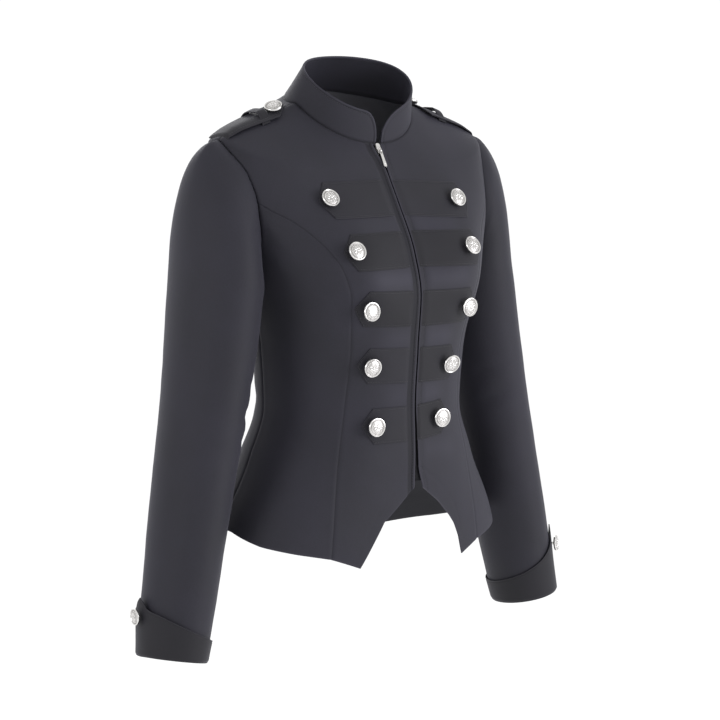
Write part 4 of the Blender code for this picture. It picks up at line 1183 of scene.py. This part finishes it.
def stitches(name, lines, pitch=0.0031, length=0.0025, thick=0.00042):
    """One piece of stitches along lines. A line is its points and the cloth's normals there."""
    bm = bmesh.new()
    count = 0
    for points, out in lines:
        run = np.concatenate([[0], np.cumsum(np.linalg.norm(np.diff(points, axis=0), axis=1))])
        for at in np.arange(pitch / 2, run[-1], pitch):
            p, ahead, n = (np.array([np.interp(t, run, grid[:, k]) for k in range(3)])
                           for t, grid in ((at, points), (min(at + 0.001, run[-1]), points), (at, out)))
            x = Vector(ahead - p).normalized()
            y = Vector(n).cross(x).normalized()
            z = x.cross(y)
            ball(bm, Matrix.Translation(Vector(p) + z * SUNK) @ turned_to(x, y, z),
                 (length / 2, thick / 2, thick / 2), 6, 4)
            count += 1
    piece = finish_piece(name, bm, [THREAD])
    print(name, count, "stitches")


def body_line(a, level, away):
    """A line of stitches on the body, that follows its folds."""
    points = off_body(a, level, np.asarray(away) + folds(body(a, level)))
    return points, body_normals(a, level)


# %% Stitch lines
def front_line(side, inset):
    level = np.linspace(1.66 if side < 0 else 1.63, 9.96, 240)
    edge = front_edge(level, side)
    wide = np.linalg.norm(body(edge + 1, level) - body(edge, level), axis=-1)
    return body_line(side * (edge + inset / wide), level, -0.0002)


def round_three_sides(start, end, half, long, short):
    """Shares out along one edge, across the end and back, and the height from -half to half."""
    out = np.concatenate([np.linspace(start, end, long), np.full(short, end), np.linspace(end, start, long)])
    high = np.concatenate([np.full(long, -half), np.linspace(-half, half, short), np.full(long, half)])
    return out, high


def band_line(side, row):
    end = 1 - BAND_STITCH / (0.92 * (seat(side, row)[1] + BAND_POINT))
    share, high = round_three_sides(0.01, end, 0.5 - BAND_STITCH / BAND, 60, 40)
    return body_line(*on_front(*band_point(side, row, share, high)), BAND_TOP - 0.0002)


for side, tag in SIDES:
    stitches(f"front_stitches_{tag}", [front_line(side, LIP if side < 0 else STITCH_IN)])
    stitches(f"band_stitches_{tag}", [band_line(side, row) for row in range(5)])
    x, y = strap_xy(*round_three_sides(0.02, STRAP_END, STRAP_LINE, 50, 30))
    a, v = on_top(x, y)
    stitches(f"strap_stitches_{tag}", [(mirrored(off_body(a, v, strap_gap(x, y) + TRIM - 0.0002), side),
                                        mirrored(normals(body, a, v), side))])

angle = np.linspace(COLLAR_START + 1.5, 358.5 - COLLAR_START, 500)
height = np.linalg.norm(collar_rim(angle) - collar(angle, 0 * angle), axis=-1)
share = collar_full(angle) * (1 - COLLAR_STITCH / height)
n = normals(collar, angle, share, dv=0.01)
stitches("collar_stitches", [(collar(angle, share) + n * 0.0007, n)])

# %% [markdown]
# ## Buttons
#
# The buttons are cast shank buttons. Each has a rounded rim, a sunk ring, a circle of
# small beads and a flower in low relief on a gently domed field, a plain ornament of no
# one's own. The round parts are one profile spun about the button's axis. The beads and
# petals are squashed balls half sunk in the field. Points that lie low, and the back,
# carry a value of painted shade, which the silver's material darkens.

# %% Button maker
PROFILE = [(0.0, -0.30), (0.16, -0.30), (0.20, -0.05), (0.34, 0.02), (0.70, 0.06), (0.92, 0.13),
           (0.985, 0.22), (1.0, 0.31), (0.985, 0.40), (0.945, 0.455), (0.89, 0.465), (0.84, 0.435),
           (0.805, 0.385), (0.77, 0.375), (0.735, 0.395), (0.60, 0.44), (0.40, 0.485), (0.20, 0.51),
           (0.0, 0.52)]  # radius and height, for a button of radius 1
BEADS, PETALS = 30, 8
STIFF, MOST_LIFT = 0.3, 0.008  # share of the cloth's own slope that a button keeps, most it stands off
# The way each front button looks, in degrees from straight ahead: to the wearer's left, and up.
FACING_WAYS = {
    "R": [(-5, 35), (0, 25), (5, 10), (-5, -15), (0, -5)],
    "L": [(0, 25), (0, 30), (-5, 0), (-15, -25), (-10, -5)],
}
STRAP_FACING = {"R": (-0.46, -0.36, 0.81), "L": (0.35, 0.0, 0.94)}
CUFF_FACING = {"R": (-0.90, 0.10, -0.15), "L": (0.50, -0.86, 0.05)}
CUFF_BUTTON_UP = {"R": 0.041, "L": 0.055}
STRAP_BUTTON_IN = {"R": 0.1105, "L": 0.0955}
STRAP_BUTTON_FORWARD = {"R": 0.0080, "L": -0.0040}
SEWN_OFF, BACK_OF_RIM = 0.0006, 0.30  # clear of the cloth, and the profile's depth behind its rim
TO_RIGHT = {  # how far each front button has slid towards the wearer's right as it tipped
    "R": (0.0035, 0.0035, 0.0008, 0.0005, 0.0015), "L": (0.0080, 0.0110, 0.0055, 0.0055, 0.0035)}


def facing_way(turn, up):
    turn, up = math.radians(turn), math.radians(up)
    return (math.sin(turn) * math.cos(up), -math.cos(turn) * math.cos(up), math.sin(up))


def field_height(r):
    """The button's face at a radius."""
    front = PROFILE[8:]
    return float(np.interp(r, [p[0] for p in front][::-1], [p[1] for p in front][::-1]))


def on_face(turn, away, height):
    """A place on a button's face, turned about its axis."""
    return Matrix.Rotation(turn, 4, "Z") @ Matrix.Translation((away, 0, height))


def button(name, node, place, normal, radius, facing, spare=1.0):
    """A button on a seat. facing is the way its face looks where it has tipped on its shank."""
    seat_normal = Vector(normal).normalized()
    n = (seat_normal * STIFF + Vector(facing) * (1 - STIFF)).normalized()
    lift = min(MOST_LIFT, radius * math.sin(seat_normal.angle(n)) * 0.92) * spare
    seat_place, place = Vector(place), Vector(place) + seat_normal * lift
    side = Vector((0, 0, 1)).cross(n)
    side = side.normalized() if side.length > 0.1 else Vector((1, 0, 0))
    where = Matrix.Translation(place) @ turned_to(side, n.cross(side), n) @ Matrix.Scale(radius, 4)
    bm = bmesh.new()
    verts = [bm.verts.new((r, 0, h)) for r, h in PROFILE]
    line = [bm.edges.new(pair) for pair in zip(verts, verts[1:])]
    bmesh.ops.spin(bm, geom=verts + line, cent=(0, 0, 0), axis=(0, 0, 1), angle=2 * math.pi, steps=56,
                   use_duplicate=False, use_merge=True)
    bmesh.ops.remove_doubles(bm, verts=bm.verts, dist=1e-5)
    bmesh.ops.recalc_face_normals(bm, faces=bm.faces)
    # Painted shade: the sunk ring, the field and the back of the button are painted darker.
    low = bm.verts.layers.float.new("low")
    for v in bm.verts:
        r = math.hypot(v.co.x, v.co.y)
        v[low] = 0.75 if 0.72 < r < 0.82 and v.co.z > 0.3 else (0.40 if r < 0.72 and v.co.z > 0 else 0.0)
        v[low] = 0.9 if v.co.z < 0.1 else v[low]
    for k in range(BEADS):
        ball(bm, on_face(2 * math.pi * k / BEADS, 0.665, 0.415), (0.048, 0.052, 0.040), 8, 5)
    for k in range(PETALS):
        at = 2 * math.pi * (k + 0.5) / PETALS
        ball(bm, on_face(at, 0.345, field_height(0.345)), (0.205, 0.098, 0.055), 12, 8)
        ball(bm, on_face(at + math.pi / PETALS, 0.50, field_height(0.50)), (0.050, 0.032, 0.034), 8, 5)
    ball(bm, Matrix.Translation((0, 0, 0.515)), (0.135, 0.135, 0.075), 16, 8)
    bmesh.ops.transform(bm, matrix=where, verts=bm.verts)
    if lift:  # the shank
        reach = lift + BACK_OF_RIM * radius
        stand = seat_normal.to_track_quat("Z", "Y").to_matrix().to_4x4()
        middle = seat_place + seat_normal * (reach / 2 - SEWN_OFF)
        bmesh.ops.create_cone(bm, cap_ends=True, segments=20, radius1=SHANK, radius2=SHANK, depth=reach,
                              matrix=Matrix.Translation(middle) @ stand)
    piece = finish_piece(name, bm, [SILVER], smooth_under=35)
    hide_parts(node)


BUTTON_RADIUS, CUFF_BUTTON_RADIUS, STRAP_BUTTON_RADIUS = 0.011, 0.0095, 0.0104
SHANK, TOUCH = 0.0019, 0.0003
for side, tag in SIDES:
    for row in range(5):
        z, x = seat(side, row)
        a, v = on_front(side * x - TO_RIGHT[tag][row], z)
        out = normals(body, a, v)
        button(f"button_{tag}{row + 1}_cast", f"button_{tag}{row + 1}",
               body(a, v) + out * (REST + TRIM + TOUCH), out, BUTTON_RADIUS,
               facing_way(*FACING_WAYS[tag][row]))
    at, z = np.array([180.0 - CUFF_POINT[tag]]), np.array([ARM[tag][-1][0] + CUFF_BUTTON_UP[tag]])
    place = arm_ring(tag, at, z, CUFF_OFF + CUFF_LIFT[tag] * (CUFF_BUTTON_UP[tag] / CUFF_TALL) ** 1.5)[0]
    out = place - arm_ring(tag, at, z, -0.01)[0]
    out = mirrored(out / np.linalg.norm(out), side)
    button(f"cuff_button_{tag}_cast", f"cuff_button_{tag}", mirrored(place, side) + out * SEWN_OFF, out,
           CUFF_BUTTON_RADIUS, CUFF_FACING[tag])
    x = np.array([STRAP_BUTTON_IN[tag]])
    spot = x, strap_middle(x) - STRAP_BUTTON_FORWARD[tag]
    a, v = on_top(*spot)
    out = mirrored(normals(body, a, v)[0], side)
    button(f"epaulette_button_{tag}_cast", f"epaulette_button_{tag}",
           mirrored(off_body(a, v, strap_gap(*spot) + TRIM)[0], side) + out * SEWN_OFF, out,
           STRAP_BUTTON_RADIUS, STRAP_FACING[tag], spare=0.25)

# %% [markdown]
# ## Zip
#
# The zip lies behind the two front edges: a woven tape on each side with a nylon coil
# along its middle. The coil is a long row of little hooks that lean together, and it
# shows as a dark ribbed line where the fronts part. The tapes are strips laid behind
# the cloth, and the hooks are small balls stretched across the line.

# %% Tapes and coil
ZIP_X, ZIP_END, ZIP_START = -0.0015, -0.385, -0.0085
UNDER = -0.0015 - 0.0009  # behind the cloth's inner face
HOOK_PITCH = 0.00125


def tape_strip(side, tag):
    def place(u, v):
        x = ZIP_X + side * (0.0002 + 0.0148 * u)
        z = ZIP_END + (ZIP_START - ZIP_END) * v
        a, level = on_front(x, z)
        ridge = 0.0004 * mark(u - 0.30, 0.05)
        return off_body(a, level, UNDER + ridge), 0 * u, 0 * u
    piece = cloth(f"zip_tape_{tag}_woven", f"zip_tape_{tag}", 14, 90, place, thickness=0.0008,
                  flip=side < 0, bevel=0,
                  outside=TAPE, inside=TAPE)


def coil_row(side, tag):
    bm = bmesh.new()
    z = np.arange(ZIP_END + 0.002, -0.0205, HOOK_PITCH) + (0.0003 if side > 0 else 0.0)
    a, level = on_front(np.full_like(z, ZIP_X + side * 0.0010), z)
    points, out = off_body(a, level, 0 * z + UNDER + 0.0008), normals(body, a, level)
    for p, n in zip(points, out):
        zz = Vector(n)
        lean = (Vector((1, 0, 0)) + Vector((0, 0, 0.22 * side))).normalized()
        yy = zz.cross(lean).normalized()
        ball(bm, Matrix.Translation(Vector(p)) @ turned_to(yy.cross(zz), yy, zz),
             (0.00150, 0.00046, 0.00075), 6, 4)
    piece = finish_piece(f"zip_coil_{tag}", bm, [COIL])
    return len(z)


for side, tag in SIDES:
    tape_strip(side, tag)
    print("zip", tag, "has", coil_row(side, tag), "hooks")

# %% [markdown]
# ## Slider and pull
#
# The slider is a small cast block: a top plate with shoulders that narrows downwards, a
# lower plate behind the coil, and an arched bridge that the pull hangs from. The pull is
# a thin tapered plate with an oval eye at its top and a raised grip near its end. Both start
# from flat outlines, which are given a thickness and then bevelled, as castings have no
# sharp edges. The pull turns on the bridge, so it rides on its own body.

# %% Slider frame
SLIDER_TOP, HINGE_OUT = -0.0095, 1.6  # in metres, and in millimetres off the slider's middle
a, v = on_front(np.array([ZIP_X, ZIP_X]), np.array([SLIDER_TOP, SLIDER_TOP - 0.012]))
top_point, below = body(a, v)
DOWN = Vector((0.0, below[1] - top_point[1], below[2] - top_point[2])).normalized()
OUT = Vector((0.0, DOWN.z, -DOWN.y))
OUT = OUT if OUT.y < 0 else -OUT
ACROSS = DOWN.cross(OUT)
METAL = Matrix.Translation(Vector(top_point)) @ turned_to(ACROSS, DOWN, OUT)


def soften(bm, faces, width, segments):
    """Bevels the sharp edges of some faces."""
    sharp = [e for e in {e for f in faces for e in f.edges} if e.is_manifold and e.calc_face_angle() > 1.0]
    bmesh.ops.bevel(bm, geom=sharp, offset=width, segments=segments, profile=0.5, affect="EDGES",
                    material=-1, clamp_overlap=True)


def plate(bm, outline, low, high, hole=None, soft=0.00022):
    """A plate from an outline of (across, down) points in millimetres, with a hole if given."""
    rings = []
    for points in (outline, hole) if hole else (outline,):
        verts = [bm.verts.new((x / 1000, y / 1000, low / 1000)) for x, y in points]
        rings.append([bm.edges.new((verts[k], verts[(k + 1) % len(verts)])) for k in range(len(verts))])
    if hole:
        made = bmesh.ops.bridge_loops(bm, edges=rings[0] + rings[1])["faces"]
    else:
        made = [bm.faces.new([e.verts[0] for e in rings[0]])]
    raised = bmesh.ops.extrude_face_region(bm, geom=made)["geom"]
    top = [g for g in raised if isinstance(g, bmesh.types.BMVert)]
    bmesh.ops.translate(bm, vec=(0, 0, (high - low) / 1000), verts=top)
    linked = {f for v in top for f in v.link_faces} | set(made)
    bmesh.ops.recalc_face_normals(bm, faces=list(linked))
    soften(bm, linked, soft, 3)


def both_sides(half, first):
    """A whole outline from its right half, that starts that many points before the half does."""
    whole = half + [(-x, y) for x, y in reversed(half)]
    return whole[-first:] + whole[:-first]


def oval(wide, tall, down, count=24):
    return [(wide * math.sin(2 * math.pi * k / count), down - tall * math.cos(2 * math.pi * k / count))
            for k in range(count)]


print("slider down", [round(c, 3) for c in DOWN], "out", [round(c, 3) for c in OUT])

# %% Slider and pull
TOP_PLATE = both_sides([(1.5, -3.0), (2.6, -2.4), (3.0, -0.8), (2.9, 3.6), (2.2, 6.5), (2.2, 9.4),
                        (1.8, 9.9)], 1)
BRIDGE = [(2.7, 0.4), (2.75, 2.0), (3.1, 2.75), (3.9, 3.15), (5.8, 3.2), (7.6, 3.15), (8.4, 2.75),
          (8.75, 2.0), (8.8, 0.4)]  # down and out, in millimetres
BRIDGE_HALF = 0.8
bm = bmesh.new()
plate(bm, TOP_PLATE, -0.7, 0.6, soft=0.00030)
plate(bm, TOP_PLATE, -2.05, -1.25, soft=0.00025)
bmesh.ops.create_cube(bm, size=1.0, matrix=Matrix.Translation((0, 0.0022, -0.0010))
                      @ Matrix.Diagonal((0.0014, 0.003, 0.0012, 1)))
strip = [[bm.verts.new((s * BRIDGE_HALF / 1000, y / 1000, z / 1000)) for s in (-1, 1)] for y, z in BRIDGE]
made = [bm.faces.new((a0, b0, b1, a1)) for (a0, b0), (a1, b1) in zip(strip, strip[1:])]
bmesh.ops.recalc_face_normals(bm, faces=made)
bmesh.ops.solidify(bm, geom=made, thickness=0.0006)
soften(bm, made, 0.00018, 2)
# Painted shade: the lower plate, behind the coil, is painted darker than the rest.
low = bm.verts.layers.float.new("low")
for vert in bm.verts:
    vert[low] = 0.8 if vert.co.z < -0.0002 else 0.1
bmesh.ops.transform(bm, matrix=METAL, verts=bm.verts)
slider = finish_piece("zip_slider_cast", bm, [SILVER], smooth_under=35)
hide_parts("zip_slider")

PULL = both_sides([(0.5, 6.05), (1.0, 6.25), (1.55, 6.7), (2.0, 7.6), (2.15, 9.0), (2.0, 10.6), (1.75, 12.0),
                   (1.85, 15.5), (2.0, 20.5), (2.2, 25.0), (2.0, 26.4), (1.2, 27.2)], 2)
bm = bmesh.new()
EYE = oval(1.35, 1.95, 9.1)
plate(bm, PULL, HINGE_OUT - 0.5, HINGE_OUT + 0.5, hole=EYE, soft=0.00022)
ball(bm, Matrix.Translation((0, 0.0205, (HINGE_OUT + 0.42) / 1000)), (0.0012, 0.0036, 0.00035), 14, 8)
bm.verts.layers.float.new("low")  # all 0, as no shade is painted on the pull
bmesh.ops.transform(bm, matrix=METAL, verts=bm.verts)
pull = finish_piece("zip_pull_cast", bm, [SILVER], "pull", 35)
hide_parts("zip_pull")
print("slider faces", len(slider.data.polygons), "pull faces", len(pull.data.polygons))

# %% [markdown]
# ## Finish
#
# Before the end, the box round all the pieces is read once more and printed.

# %% Finish
visual_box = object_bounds()
({"cad": [list(corner) if hasattr(corner, "__len__") else corner for corner in cad_box],
           "visual": [list(corner) if hasattr(corner, "__len__") else corner for corner in visual_box]})
print("visual box", visual_box)
